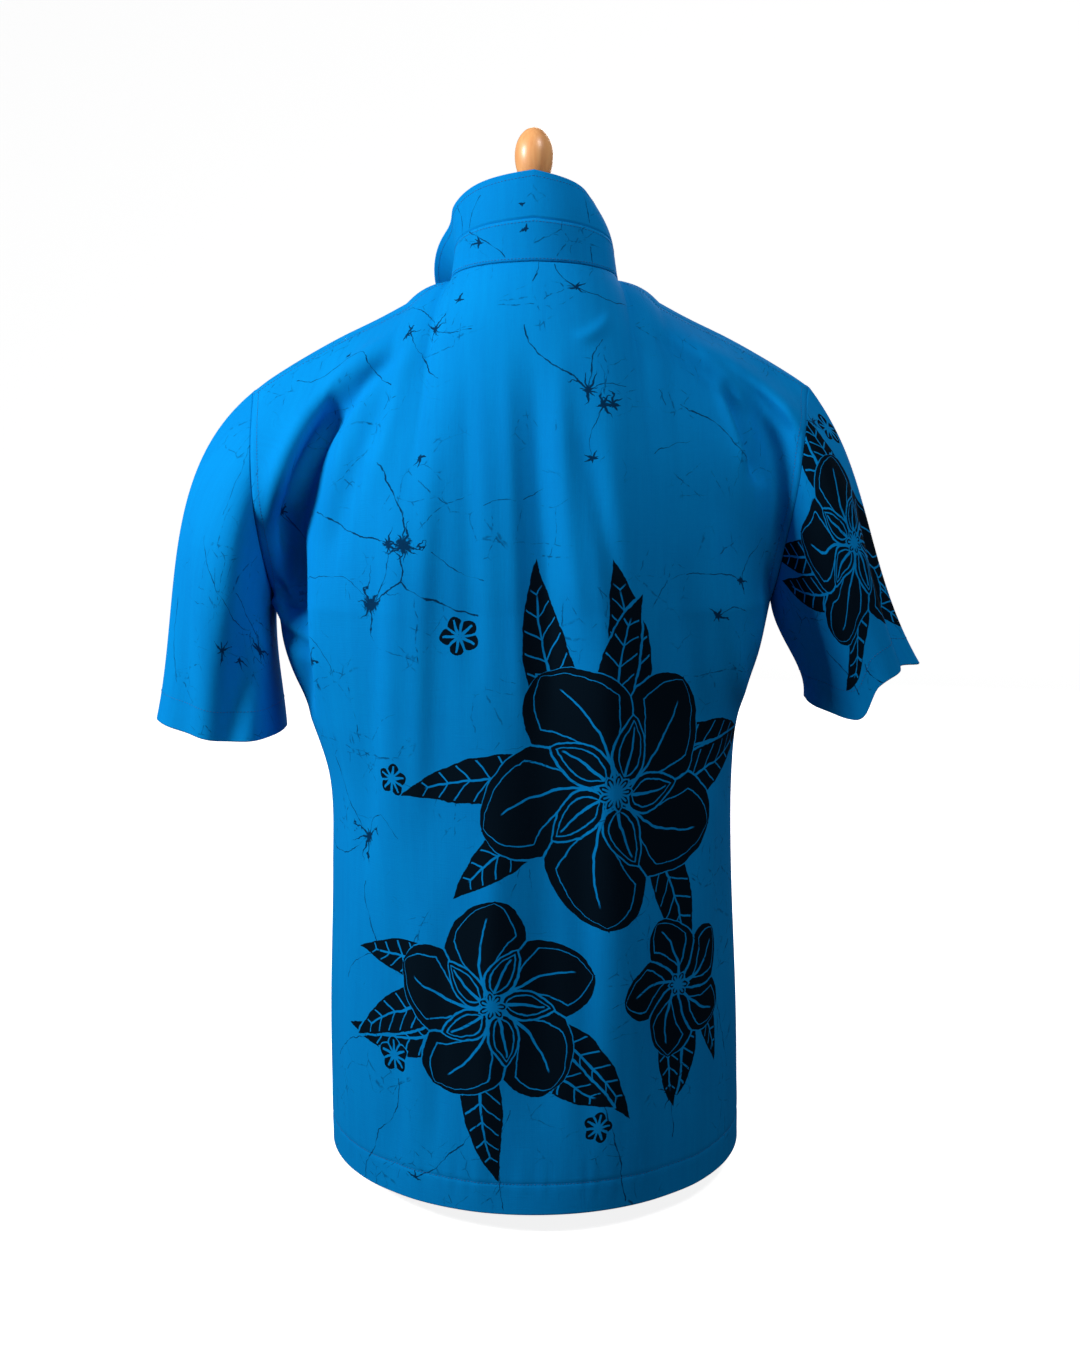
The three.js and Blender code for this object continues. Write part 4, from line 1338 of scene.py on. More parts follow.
@dataclass(frozen=True)
class Wood:
    """Clear-varnished beech."""

    pale: tuple = (0.93, 0.47, 0.185, 1)
    dark: tuple = (0.76, 0.32, 0.11, 1)

    def material(self) -> bpy.types.Material:
        """Return the wood, with its grain upright."""
        material = bpy.data.materials.new("varnished_wood")
        material.use_nodes = True
        graph = Graph(material.node_tree)
        shader = material.node_tree.nodes["Principled BSDF"]
        place = graph.node("ShaderNodeTexCoord").outputs["Object"]
        grain = graph.noise(graph.vector("MULTIPLY", place, (420.0, 420.0, 14.0)), 1.0, 4.0)
        figure = graph.noise(graph.vector("MULTIPLY", place, (60.0, 60.0, 9.0)), 1.0, 3.0)
        tone = graph.math("ADD", graph.math("MULTIPLY", grain, 0.55), graph.math("MULTIPLY", figure, 0.7))
        graph.feed(shader.inputs["Base Color"], graph.mix(graph.ease(tone, 0.38, 0.9), self.pale, self.dark))
        graph.feed(shader.inputs["Roughness"], graph.math("MULTIPLY_ADD", grain, 0.2, 0.3))
        shader.inputs["Coat Weight"].default_value = 0.25
        shader.inputs["Coat Roughness"].default_value = 0.25
        return material


@dataclass(frozen=True)
class Linen:
    """The form's stretched cover."""

    colour: tuple = (0.74, 0.68, 0.58, 1)
    shade: tuple = (0.60, 0.54, 0.45, 1)

    def material(self) -> bpy.types.Material:
        """Return the linen, woven level and upright."""
        material = bpy.data.materials.new("form_cover")
        material.use_nodes = True
        graph = Graph(material.node_tree)
        shader = material.node_tree.nodes["Principled BSDF"]
        place = graph.node("ShaderNodeTexCoord").outputs["Object"]
        warp = graph.noise(graph.vector("MULTIPLY", place, (900.0, 900.0, 40.0)), 1.0)
        weft = graph.noise(graph.vector("MULTIPLY", place, (40.0, 40.0, 900.0)), 1.0)
        threads = graph.math("MULTIPLY", graph.math("ADD", warp, weft), 0.5)
        graph.feed(shader.inputs["Base Color"], graph.mix(threads, self.shade, self.colour))
        bump = graph.node("ShaderNodeBump")
        bump.inputs["Distance"].default_value = 0.0003
        graph.feed(bump.inputs["Height"], threads)
        graph.feed(shader.inputs["Normal"], bump.outputs[0])
        shader.inputs["Roughness"].default_value = 0.92
        return material


@dataclass(frozen=True)
class Resin:
    """Smooth coloured resin or thread."""

    name: str
    colour: tuple
    roughness: float

    def material(self) -> bpy.types.Material:
        """Return the finish, with faint clouds in its colour."""
        material = bpy.data.materials.new(self.name)
        material.use_nodes = True
        graph = Graph(material.node_tree)
        shader = material.node_tree.nodes["Principled BSDF"]
        place = graph.node("ShaderNodeTexCoord").outputs["Object"]
        cloud = graph.noise(place, 300.0)
        lighter = tuple(min(1.0, 1.35 * part) for part in self.colour[:3]) + (1,)
        graph.feed(shader.inputs["Base Color"], graph.mix(cloud, self.colour, lighter))
        shader.inputs["Roughness"].default_value = self.roughness
        return material


# ---------------------------------------------------------------- the pattern


BACK_MARKS = Marks(
    cracks=(
        Crack((-200, 590), (-120, 545), bow=-8),
        Crack((-104, 545), (-132, 612), bow=-6, width=1.0),
        Crack((-118, 545), (-106, 512), bow=5, width=1.0),
        Crack((-106, 512), (-138, 494), width=0.9),
        Crack((-119, 540), (-134, 496), bow=5, width=0.9),
        Crack((-106, 512), (-46, 486), bow=-4),
        Crack((-246, 515), (-165, 518), bow=3, width=0.6),
        Crack((-165, 518), (-140, 496), bow=4, width=0.6),
        Crack((-80, 536), (-40, 514), bow=-4, width=0.6),
        Crack((-7, 718), (25, 678), bow=-8),
        Crack((22, 680), (44, 666)),
        Crack((44, 666), (78, 671), bow=3, width=0.9),
        Crack((44, 668), (58, 710), bow=3),
        Crack((56, 654), (48, 608), bow=-4, width=0.6),
        Crack((16, 778), (34, 757), bow=-2, width=0.7),
        Crack((34, 757), (100, 756), bow=-6, width=0.6),
        Crack((4, 776), (0, 756), width=0.6),
        Crack((-150, 768), (-91, 730), bow=10, width=0.6),
        Crack((-91, 729), (-52, 718), bow=-5, width=0.8),
        Crack((-120, 742), (-82, 680), bow=-5, width=0.9),
        Crack((-236, 726), (-162, 714), bow=5, width=0.7),
        Crack((-162, 714), (-127, 680), bow=-4, width=0.7),
        Crack((108, 670), (116, 658), width=1.1),
        Crack((132, 658), (202, 620), bow=5, width=0.9),
        Crack((222, 560), (193, 508), bow=-5, width=0.7),
        Crack((134, 518), (190, 514), bow=4, width=0.6),
        Crack((162, 480), (202, 488), bow=6, width=0.6),
        Crack((-226, 472), (-180, 436), bow=9, width=0.6),
        Crack((-224, 446), (-216, 412), width=0.8),
        Crack((104, 616), (138, 629), bow=2, width=0.5),
        Crack((-40, 571), (-14, 576), bow=3, width=0.5),
        Crack((-8, 578), (8, 584), width=0.5),
        Crack((-256, 640), (-250, 560), bow=-8, width=0.7),
        Crack((-252, 600), (-226, 520), bow=-12, width=0.7),
        Crack((-198, 360), (-158, 296), bow=-4, width=0.7),
        Crack((-156, 296), (-116, 302), bow=18, width=0.6),
        Crack((-236, 282), (-158, 296), bow=-14, width=0.6),
        Crack((-157, 260), (-141, 204), bow=-6, width=0.7),
        Crack((-141, 204), (-182, 172), bow=-5, width=0.7),
        Crack((-112, 350), (-92, 347), bow=-2, width=0.8),
        Crack((-206, 98), (-156, 126), bow=4, width=0.5),
        Crack((-122, 100), (-126, 70), bow=3, width=0.6),
        Crack((-126, 70), (-162, 2), bow=-5, width=0.7),
        Crack((-40, 88), (-104, 19), bow=8, width=0.9),
        Crack((48, 106), (76, 6), bow=4, width=0.7),
        Crack((150, 212), (205, 84), bow=8, width=0.7),
        Crack((120, 142), (124, 50), bow=3, width=0.7),
        Crack((121, 88), (142, 104), width=0.6),
        Crack((-20, 88), (-32, 44), width=0.5),
        Crack((-34, 42), (-24, 2), bow=2, width=0.5),
    ),
    knots=(
        Knot((-104, 543), 38, 9, 1.0),
        Knot((-119, 543), 19, 8, 2.0),
        Knot((-138, 494), 38, 10, 3.0),
        Knot((44, 666), 21, 8, 4.0),
        Knot((55, 653), 14, 7, 5.0),
        Knot((64, 653), 14, 7, 6.0),
        Knot((34, 757), 13, 6, 7.0),
        Knot((-91, 728), 21, 7, 8.0),
        Knot((-118, 724), 14, 6, 9.0),
        Knot((-181, 729), 10, 5, 10.0),
        Knot((-257, 587), 19, 8, 11.0),
        Knot((193, 512), 19, 7, 12.0),
        Knot((-210, 446), 26, 9, 13.0),
        Knot((-156, 296), 27, 9, 14.0),
        Knot((121, 88), 16, 7, 15.0),
        Knot((-103, 20), 10, 6, 16.0),
        Knot((-94, 613), 10, 5, 17.0),
        Knot((-66, 750), 11, 5, 18.0),
        Knot((166, 484), 13, 6, 19.0),
        Knot((49, 609), 10, 6, 20.0),
    ),
    motifs=(
        Rosette((66, 345), 186, 21, angle=70, twist=-0.35, inner=40, veins=9),
        Rosette((66, 345), 160, 19, angle=98, twist=0.3, inner=40),
        Rosette((66, 345), 196, 21, angle=132, twist=0.4, inner=40, veins=9),
        Rosette((66, 345), 178, 20, angle=162, twist=-0.35, inner=40, veins=8),
        Rosette((66, 345), 160, 19, angle=196, twist=-0.3, inner=40, veins=8),
        Rosette((66, 345), 182, 20, angle=28, twist=0.35, inner=40, veins=8),
        Rosette((66, 345), 176, 20, angle=-6, twist=-0.3, inner=40, veins=8),
        Rosette((66, 345), 172, 20, angle=-40, twist=0.4, inner=40, veins=8),
        Rosette((-34, 172), 150, 18, angle=218, twist=0.4, inner=30, veins=8),
        Rosette((-34, 172), 142, 18, angle=176, twist=-0.4, inner=30, veins=8),
        Rosette((-34, 172), 134, 17, angle=144, twist=-0.4, inner=30, veins=8),
        Rosette((-34, 172), 146, 18, angle=252, twist=-0.35, inner=30, veins=8),
        Rosette((-34, 172), 150, 18, angle=-18, twist=0.4, inner=30, veins=8),
        Rosette((-34, 172), 132, 17, angle=-58, twist=-0.3, inner=30, veins=7),
        Rosette((134, 176), 100, 13, angle=-78, twist=0.3, inner=22, veins=6),
        Rosette((134, 176), 104, 13, angle=-112, twist=-0.3, inner=22, veins=6),
        Rosette((134, 176), 92, 13, angle=-36, twist=0.4, inner=22, veins=6),
        blossom((66, 345), 112, 50, inner=6, angle=20, twist=-0.55, contour=0.26),
        Rosette((66, 345), 64, 16, petals=5, inner=12, angle=56, twist=-0.3, point=0.8, veins=0, contour=0.3),
        Rosette((66, 345), 14, 3, petals=9, inner=1, point=0.5, veins=0),
        blossom((-34, 172), 86, 39, inner=5, angle=48, twist=0.55, contour=0.26),
        Rosette((-34, 172), 50, 12, petals=5, inner=9, angle=84, twist=0.3, point=0.8, veins=0, contour=0.3),
        Rosette((-34, 172), 11, 3, petals=7, inner=1, point=0.5, veins=0),
        blossom((134, 176), 60, 27, inner=4, angle=10, twist=-0.55, contour=0.28),
        Rosette((134, 176), 9, 3, petals=6, inner=1, point=0.5, veins=0),
        blossom((-118, 352), 14, 6, inner=1, angle=8),
        blossom((-60, 470), 16, 7, inner=1, angle=40),
        blossom((-126, 118), 15, 6.5, inner=1, angle=22),
        blossom((52, 70), 13, 6, inner=1, angle=0),
    ),
    seed=0.0,
)
LEFT_SLEEVE_MARKS = Marks(
    cracks=(
        Crack((70, 170), (150, 96), bow=-6, width=0.6),
        Crack((134, 130), (182, 60), bow=6, width=0.7),
        Crack((40, 110), (52, 40), bow=-4, width=0.5),
        Crack((60, 262), (92, 190), bow=7, width=0.5),
    ),
    knots=(
        Knot((110, 80), 16, 7, 31.0),
        Knot((134, 70), 13, 6, 32.0),
        Knot((168, 76), 22, 8, 33.0),
        Knot((-60, 120), 22, 8, 34.0),
    ),
    seed=3.0,
)
RIGHT_SLEEVE_MARKS = Marks(
    cracks=(
        Crack((-70, 236), (-20, 200), bow=5, width=0.8),
        Crack((-150, 60), (-120, 20), bow=4, width=0.8),
        Crack((-60, 40), (-52, 4), bow=3, width=0.8),
        Crack((-104, 30), (-90, 2), bow=-3, width=0.7),
        Crack((60, 200), (100, 60), bow=12, width=0.8),
    ),
    knots=(Knot((-40, 222), 14, 7, 41.0), Knot((80, 130), 22, 8, 42.0)),
    motifs=(
        Rosette((-72, 118), 138, 19, angle=104, twist=0.4, inner=30, veins=8),
        Rosette((-72, 118), 124, 18, angle=64, twist=-0.35, inner=30, veins=8),
        Rosette((-72, 118), 122, 18, angle=-30, twist=0.3, inner=30, veins=8),
        Rosette((-72, 118), 112, 17, angle=-72, twist=-0.4, inner=30),
        Rosette((-72, 118), 112, 17, angle=-106, twist=0.3, inner=30),
        Rosette((-72, 118), 120, 17, angle=18, twist=0.4, inner=30, veins=8),
        Rosette((-72, 118), 124, 17, angle=146, twist=-0.4, inner=30, veins=8),
        Rosette((-72, 118), 118, 17, angle=196, twist=0.3, inner=30),
        blossom((-72, 118), 78, 36, inner=5, angle=30, twist=0.55, contour=0.26),
        Rosette((-72, 118), 44, 11, petals=5, inner=8, angle=66, twist=0.3, point=0.8, veins=0, contour=0.3),
        Rosette((-72, 118), 10, 3, petals=7, inner=1, point=0.5, veins=0),
        blossom((-20, 214), 14, 6, inner=1, angle=8),
    ),
    seed=5.0,
)
COLLAR_MARKS = Marks(
    cracks=(
        Crack((-62, 2), (-46, 24), bow=2, width=0.6),
        Crack((-82, 30), (-72, 0), bow=2, width=0.5),
        Crack((44, 26), (50, 2), width=0.5),
    ),
    knots=(Knot((-10, 12), 8, 5, 51.0),),
    seed=7.0,
)
STAND_MARKS = Marks(
    cracks=(Crack((-60, 30), (-24, 3), bow=2, width=0.7), Crack((49, 14), (51, 2), width=0.6)),
    knots=(Knot((-49, 19), 11, 6, 61.0), Knot((-8, 27), 6, 5, 62.0)),
    seed=9.0,
)
FRONT_MARKS = Marks(
    cracks=(
        Crack((-60, 600), (-130, 520), bow=10, width=0.7),
        Crack((-120, 420), (-40, 380), bow=-9, width=0.7),
        Crack((-150, 250), (-70, 120), bow=12, width=0.7),
        Crack((60, 640), (140, 560), bow=-10, width=0.7),
        Crack((130, 420), (60, 330), bow=8, width=0.7),
        Crack((60, 200), (150, 90), bow=-12, width=0.7),
    ),
    knots=(
        Knot((-128, 520), 16, 9, 71.0),
        Knot((-44, 382), 11, 8, 72.0),
        Knot((-70, 122), 14, 9, 73.0),
        Knot((138, 560), 16, 9, 74.0),
        Knot((62, 332), 11, 8, 75.0),
        Knot((148, 92), 13, 8, 76.0),
    ),
    seed=11.0,
)
MARKS = {
    "back": BACK_MARKS,
    "front_left": FRONT_MARKS,
    "front_right": FRONT_MARKS,
    "sleeve_left": LEFT_SLEEVE_MARKS,
    "sleeve_right": RIGHT_SLEEVE_MARKS,
    "collar_stand": STAND_MARKS,
    "collar_leaf": COLLAR_MARKS,
}


# ---------------------------------------------------------------- stitches, buttons and the form


@dataclass
class Stitching:
    """Rows of small stitches along seams, hems and edges."""

    pitch: float = 2.9
    length: float = 1.05
    radius: float = 0.30
    rows: list[tuple[Array, Array]] = field(default_factory=list)

    def add(self, points: Array, normals: Array) -> None:
        """Add one row.

        Args:
            points: The line that it follows, in millimetres.
            normals: The way out of the cloth along it.
        """
        self.rows.append((points, normals))

    def along(self, cloth: Cloth, row: float, columns: slice = slice(None)) -> None:
        """Add a row at a height above a piece's first row, in millimetres of cloth."""
        rising = arc_lengths(cloth.points, 1, cloth.first_row) / MM
        normals = normals_of(cloth.points, cloth.tube)
        self.follow(cloth.points[columns], normals[columns], rising[columns], row)

    def leaf_edge(self, cloth: Cloth, inset: float) -> None:
        """Add a row below a piece's last row all the way along."""
        self.below_top(cloth, inset, slice(4, -4))

    def below_top(self, cloth: Cloth, inset: float, columns: slice) -> None:
        """Add a row below a piece's last row, past some of its columns.

        Args:
            cloth: The piece.
            inset: How far below, in millimetres of cloth.
            columns: The columns.
        """
        rising = arc_lengths(cloth.points, 1, 0) / MM
        below = rising[:, -1:] - rising
        grids = (cloth.points, normals_of(cloth.points), below)
        self.follow(*(grid[columns, ::-1] for grid in grids), inset)

    def beside(self, cloth: Cloth, edge: int, inset: float, rows: slice = slice(None)) -> None:
        """Add a row beside a piece's first or last column.

        Args:
            cloth: The piece.
            edge: The column, 0 or -1.
            inset: How far in from it, in millimetres of cloth.
            rows: Which rows it runs past.
        """
        across = np.abs(arc_lengths(cloth.points, 0, 0) / MM)
        across = np.abs(across - across[edge])
        turned = [np.swapaxes(grid, 0, 1)[rows] for grid in (cloth.points, normals_of(cloth.points), across)]
        if edge:
            turned = [grid[:, ::-1] for grid in turned]
        self.follow(*turned, inset)

    def follow(self, points: Array, normals: Array, measure: Array, place: float) -> None:
        """Add a row where a measure that grows along each line of a grid reaches a value."""
        line = []
        for spots, ways, values in zip(points, normals, measure):
            line.append([*(np.interp(place, values, part) for part in (*spots.T, *ways.T))])
        found = np.array(line)
        self.add(found[:, :3], found[:, 3:])

    def build(self) -> bpy.types.Object:
        """Return all the stitches as one piece."""
        bm = bmesh.new()
        bmesh.ops.create_uvsphere(bm, u_segments=6, v_segments=4, radius=1)
        bm.verts.ensure_lookup_table()
        shape = np.array([vert.co for vert in bm.verts]) * (self.length, self.radius, self.radius)
        faces = [[vert.index for vert in face.verts] for face in bm.faces]
        bm.free()
        stitches = [stitch for row in self.rows for stitch in self.placed(shape, *row)]
        mesh = bpy.data.meshes.new("stitches")
        counts = np.arange(len(stitches)) * len(shape)
        corners = [[i + k for i in face] for k in counts for face in faces]
        mesh.from_pydata(np.concatenate(stitches) * MM, [], corners)
        mesh.polygons.foreach_set("use_smooth", [True] * len(mesh.polygons))
        piece = bpy.data.objects.new("stitches", mesh)
        bpy.context.scene.collection.objects.link(piece)
        return piece

    def placed(self, shape: Array, points: Array, normals: Array) -> list[Array]:
        """Return the corners of each stitch of one row.

        Args:
            shape: One stitch's corners, lying along X with Z out of the cloth.
            points: The line that the row follows.
            normals: The way out of the cloth along it.

        Returns:
            The corners of each stitch, in millimetres.
        """
        course = np.concatenate([[0], np.cumsum(np.linalg.norm(np.diff(points, axis=0), axis=1))])
        starts = np.arange(self.pitch / 2, course[-1] - self.pitch / 2, self.pitch)

        def at(places: Array, values: Array) -> Array:
            """Return some values at places along the row."""
            return np.stack([np.interp(places, course, part) for part in values.T], -1)

        here = at(starts, points)
        along = at(starts + 0.5, points) - here
        along /= np.linalg.norm(along, axis=1, keepdims=True)
        out = at(starts, normals)
        out -= along * (out * along).sum(1, keepdims=True)
        out /= np.linalg.norm(out, axis=1, keepdims=True)
        turns = np.stack([along, np.cross(out, along), out], 1)
        return [spot + 0.06 * turn[2] + shape @ turn for spot, turn in zip(here, turns)]


def spun(profile: list[tuple[float, float]], steps: int = 48) -> bmesh.types.BMesh:
    """Turn a profile round Z.

    Args:
        profile: Distances from the axis and heights, from one end on the axis to the other.
        steps: How many sides the solid has.

    Returns:
        A closed bmesh in metres.
    """
    bm = bmesh.new()
    verts = [bm.verts.new((radius * MM, 0, height * MM)) for radius, height in profile]
    edges = [bm.edges.new(pair) for pair in zip(verts, verts[1:])]
    bmesh.ops.spin(
        bm, geom=[*verts, *edges], angle=math.tau, steps=steps, axis=(0, 0, 1), cent=(0, 0, 0), use_merge=True
    )
    bmesh.ops.remove_doubles(bm, verts=bm.verts, dist=1e-7)
    bmesh.ops.recalc_face_normals(bm, faces=bm.faces)
    return bm


@dataclass(frozen=True)
class Button:
    """A sewn button with a sunk face and two bars of thread."""

    radius: float = 5.7
    thick: float = 2.6

    def build(self, name: str, node: str) -> tuple[bpy.types.Object, bpy.types.Object]:
        """Return one button and its thread, where a CAD button lies.

        Args:
            name: The new piece's name.
            node: The CAD button.

        Returns:
            The button and its thread.
        """
        low, high = (np.array(corner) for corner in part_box(node))
        lie = Matrix.Translation(Vector((low + high) / 2)) @ Matrix.Rotation(math.radians(90), 4, "X")
        back = [(0, 0), (4.6, 0), (5.4, 0.4), (5.7, 1.1)]
        rim = [*back, (5.5, 2.1), (5.0, 2.6), (4.5, 2.5), (4.0, 1.9), (0, 1.8)]
        disc = spun([(radius, height - self.thick / 2) for radius, height in rim], 40)
        bmesh.ops.transform(disc, matrix=lie, verts=disc.verts)
        thread = bmesh.new()
        for side in (-1, 1):
            shift = Matrix.Translation(Vector((side * 1.0, 0, 0.75)) * MM)
            size = Matrix.Diagonal((0.34, 1.7, 0.34, 1)) @ Matrix.Scale(MM, 4)
            placed = lie @ shift @ size
            bmesh.ops.create_uvsphere(thread, u_segments=10, v_segments=8, radius=1, matrix=placed)
        return object_from(name, disc), object_from(f"{name}_thread", thread)


@dataclass(frozen=True)
class Form:
    """The dress form: a covered torso with a wooden neck cap, knob and base."""

    base: tuple[float, float, float] = (138, 96, 18)
    cap: tuple[float, float, float] = (47, 45, 9)
    top: float = 903
    cap_middle: float = -3
    knob_middle: float = -2
    knob_radius: float = 16.5

    def torso(self) -> bpy.types.Object:
        """Return the covered torso, closed at both ends."""
        ups = np.linspace(FORM_SECTIONS[0]["up"], FORM_SECTIONS[-1]["up"], 160)
        turns, ups = np.meshgrid(np.linspace(0, math.tau, 97), ups, indexing="ij")
        half, back, front = (read(FORM_SECTIONS, "up", ups, key) for key in ("across", "back", "front"))
        deep = np.where(np.sin(turns) > 0, back, front)
        points = np.stack([half * np.cos(turns), deep * np.sin(turns), HEM_Z + ups], -1)
        bm = bmesh.new()
        bmesh.ops.create_grid(bm, x_segments=96, y_segments=159, size=0.5)
        for vert in bm.verts:
            vert.co = Vector(points[round((vert.co.x + 0.5) * 96), round((vert.co.y + 0.5) * 159)] * MM)
        bmesh.ops.remove_doubles(bm, verts=bm.verts, dist=1e-6)
        bmesh.ops.holes_fill(bm, edges=[edge for edge in bm.edges if edge.is_boundary])
        bmesh.ops.recalc_face_normals(bm, faces=bm.faces)
        return object_from("form_torso_cover", bm)

    def board(
        self, name: str, half: tuple[float, float, float], low: float, middle: float
    ) -> bpy.types.Object:
        """Return an oval board with rounded edges.

        Args:
            name: The piece's name.
            half: Half its width, half its depth, and its thickness.
            low: The height of its underside.
            middle: Where its centre lies, front to back.

        Returns:
            The board.
        """
        across, deep, thick = half
        edge = min(3.0, thick / 4)
        corner = [(math.cos(a), math.sin(a)) for a in np.radians(np.linspace(0, 90, 6))]
        upper = [(1000 - edge + edge * c, thick - edge + edge * s) for c, s in corner]
        lower = [(1000 - edge + edge * c, edge - edge * s) for c, s in corner[::-1]]
        bm = spun([(0, 0), *lower, *upper, (0, thick)], 96)
        for vert in bm.verts:
            radius = math.hypot(vert.co.x, vert.co.y) / MM
            inset = 1000 - radius if radius > 1 else 0
            if radius > 1:
                cosine, sine = vert.co.x / (radius * MM), vert.co.y / (radius * MM)
                vert.co.x = cosine * (across - inset) * MM
                vert.co.y = sine * (deep - inset) * MM
            vert.co.y += middle * MM
            vert.co.z += low * MM
        return object_from(name, bm)

    def knob(self, top: float, low: float, middle: float) -> bpy.types.Object:
        """Return the turned knob: an egg, a little slimmer below, on a stem.

        Args:
            top: The height of its top.
            low: The height of its underside.
            middle: Where its axis lies, front to back.

        Returns:
            The knob.
        """
        below, above = 27, 23
        centre = top - above
        egg = [
            (self.knob_radius * math.sin(a), centre - (below if a < math.pi / 2 else above) * math.cos(a))
            for a in np.radians(np.linspace(35, 178, 34))
        ]
        stem = [(0, low), (13, low), (13, low + 4.4), (12.4, low + 5.2), (9.6, low + 8), (9, low + 10)]
        bm = spun([*stem, *egg, (0, top)], 64)
        bmesh.ops.translate(bm, vec=(0, middle * MM, 0), verts=bm.verts)
        return object_from("form_knob_turned", bm)


# ---------------------------------------------------------------- the studio


@dataclass(frozen=True)
class Studio:
    """A pale curved backdrop, soft lights and the camera."""

    distance: float = 1.30
    height: float = 0.621
    pitch: float = 8.0
    aside: float = -0.0048
    lens: float = 39.65
    aim: Vector = field(default_factory=lambda: Vector((0, 0, 0.48)))
    ambient: float = 0.09
    glow: float = 0.86
    floor: float = 3.0
    curve: float = 1.2

    def build(self) -> None:
        """Build the backdrop, the lights, the world and the camera."""
        self.camera()
        self.backdrop()
        self.light("key", Vector((1.4, 0.66, 1.3)), 0.45, 34)
        self.light("over", Vector((-0.7, 0.9, 1.8)), 0.45, 11)
        self.light("front", Vector((-0.6, -2.2, 1.6)), 1.6, 42)
        world = bpy.data.worlds.new("Studio")
        world.use_nodes = True
        sky = world.node_tree.nodes["Background"]
        sky.inputs["Color"].default_value = (1, 1, 1, 1)
        sky.inputs["Strength"].default_value = self.ambient
        bpy.context.scene.world = world
        bpy.context.scene.view_settings.view_transform = "Standard"

    def camera(self) -> None:
        """Place the camera behind the shirt, a little above its middle."""
        data = bpy.data.cameras.new("camera")
        data.lens = self.lens
        camera = bpy.data.objects.new("camera", data)
        bpy.context.scene.collection.objects.link(camera)
        camera.location = (self.aside, self.distance, self.height)
        camera.rotation_euler = (math.radians(90 - self.pitch), 0, math.pi)
        bpy.context.scene.camera = camera

    def backdrop(self) -> None:
        """Build a round floor whose rim curves up into a wall, all in pale paint that glows a little."""
        bm = bmesh.new()
        bend = [
            (self.floor + self.curve * math.sin(a), self.curve - self.curve * math.cos(a))
            for a in np.radians(np.linspace(0, 90, 13))
        ]
        profile = [(0, 0), (0.6, 0), (1.5, 0), *bend, (4.2, 2.6), (4.2, 4.4)]
        verts = [bm.verts.new((radius, 0, height)) for radius, height in profile]
        edges = [bm.edges.new(pair) for pair in zip(verts, verts[1:])]
        geom = [*verts, *edges]
        up = (0, 0, 1)
        bmesh.ops.spin(bm, geom=geom, angle=math.tau, steps=64, axis=up, cent=(0, 0, 0), use_merge=True)
        bmesh.ops.remove_doubles(bm, verts=bm.verts, dist=1e-5)
        bmesh.ops.recalc_face_normals(bm, faces=bm.faces)
        bmesh.ops.reverse_faces(bm, faces=bm.faces)
        backdrop = object_from("backdrop", bm)
        material = bpy.data.materials.new("backdrop")
        material.use_nodes = True
        shader = material.node_tree.nodes["Principled BSDF"]
        shader.inputs["Base Color"].default_value = (0.8, 0.8, 0.8, 1)
        shader.inputs["Roughness"].default_value = 1.0
        shader.inputs["Emission Color"].default_value = (1, 1, 1, 1)
        shader.inputs["Emission Strength"].default_value = self.glow
        backdrop.data.materials.append(material)
        backdrop.visible_diffuse = False
        backdrop.visible_shadow = False
        backdrop.visible_glossy = False

    def light(self, name: str, place: Vector, size: float, power: float) -> None:
        """Hang one square soft light that faces the middle of the shirt.

        Args:
            name: The light's name.
            place: Where it hangs.
            size: Its width.
            power: Its power in watts.
        """
        data = bpy.data.lights.new(name, "AREA")
        data.shape = "SQUARE"
        data.size = size
        data.energy = power
        lamp = bpy.data.objects.new(name, data)
        bpy.context.scene.collection.objects.link(lamp)
        lamp.location = place
        lamp.rotation_euler = (place - self.aim).to_track_quat("Z", "Y").to_euler()


@dataclass(frozen=True)
class Sheet:
    """The flat cut of a piece of cloth, in metres."""

    flat: tuple[float, float]
    area: float
    held: str
    rests_on: tuple[str, ...]


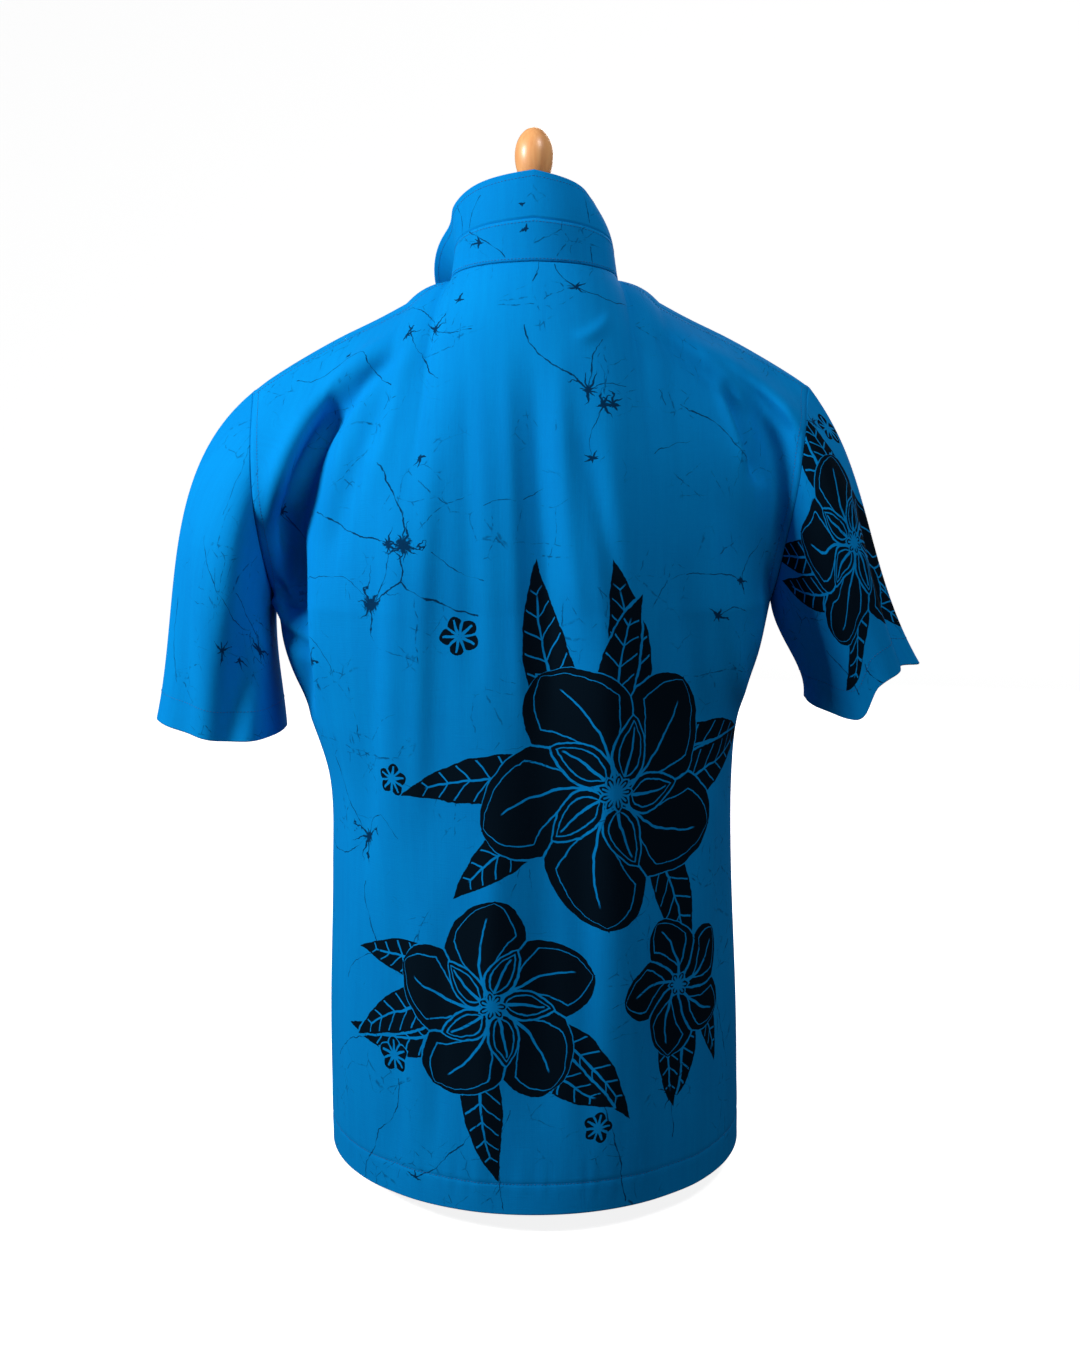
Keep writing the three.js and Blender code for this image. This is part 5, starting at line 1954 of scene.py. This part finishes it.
def settle(piece: bpy.types.Object, node: str) -> None:
    """Make a piece part of the object, in place of a CAD node.

    Args:
        piece: The piece.
        node: The CAD node that it replaces, or nothing.
    """
    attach(piece, "root")
    if node:
        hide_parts(node)
    LOG.info("%s: %d faces", piece.name, len(piece.data.polygons))


def build_shirt(shirt: Shirt) -> None:
    """Build the shirt's cloth and its stitches."""
    batik = Batik()
    cloths = {
        cloth.name: cloth
        for cloth in (
            shirt.back(),
            shirt.front(Side.LEFT),
            shirt.front(Side.RIGHT),
            shirt.sleeve(LEFT_SLEEVE),
            shirt.sleeve(RIGHT_SLEEVE),
            shirt.stand(),
            shirt.leaf(),
        )
    }
    for name, cloth in cloths.items():
        piece = cloth.build()
        batik.dress(piece, MARKS[name])
        settle(piece, name)
    stitches = shirt.stitches(cloths).build()
    stitches.data.materials.append(Resin("thread", (0.0006, 0.085, 0.27, 1), 0.7).material())
    settle(stitches, "")


def build_buttons() -> None:
    """Build the six buttons and their thread."""
    navy = Resin("button_navy", (0.006, 0.018, 0.040, 1), 0.28).material()
    thread = Resin("button_thread", (0.002, 0.16, 0.42, 1), 0.7).material()
    for number in range(1, 7):
        disc, bars = Button().build(f"navy_button_{number}", f"button_{number}")
        disc.data.materials.append(navy)
        bars.data.materials.append(thread)
        settle(disc, f"button_{number}")
        settle(bars, "")


def build_form() -> None:
    """Build the form's torso, cap, knob and base."""
    form = Form()
    wood = Wood().material()
    torso = form.torso()
    torso.data.materials.append(Linen().material())
    settle(torso, "form_torso")
    top = HEM_Z + FORM_SECTIONS[-1]["up"]
    pieces = {
        "form_base": form.board("form_base_board", form.base, 0, 0),
        "form_neck_cap": form.board("form_cap_board", form.cap, top + 0.5, form.cap_middle),
        "form_knob": form.knob(form.top, top + 10, form.knob_middle),
    }
    for node, piece in pieces.items():
        piece.data.materials.append(wood)
        settle(piece, node)


def main() -> None:
    """Build the studio, the form, the shirt and its buttons, and report each piece."""
    Studio().build()
    build_form()
    build_shirt(Shirt())
    build_buttons()


if __name__ == "__main__":
    logging.basicConfig(level=logging.INFO, format="%(message)s")
    main()
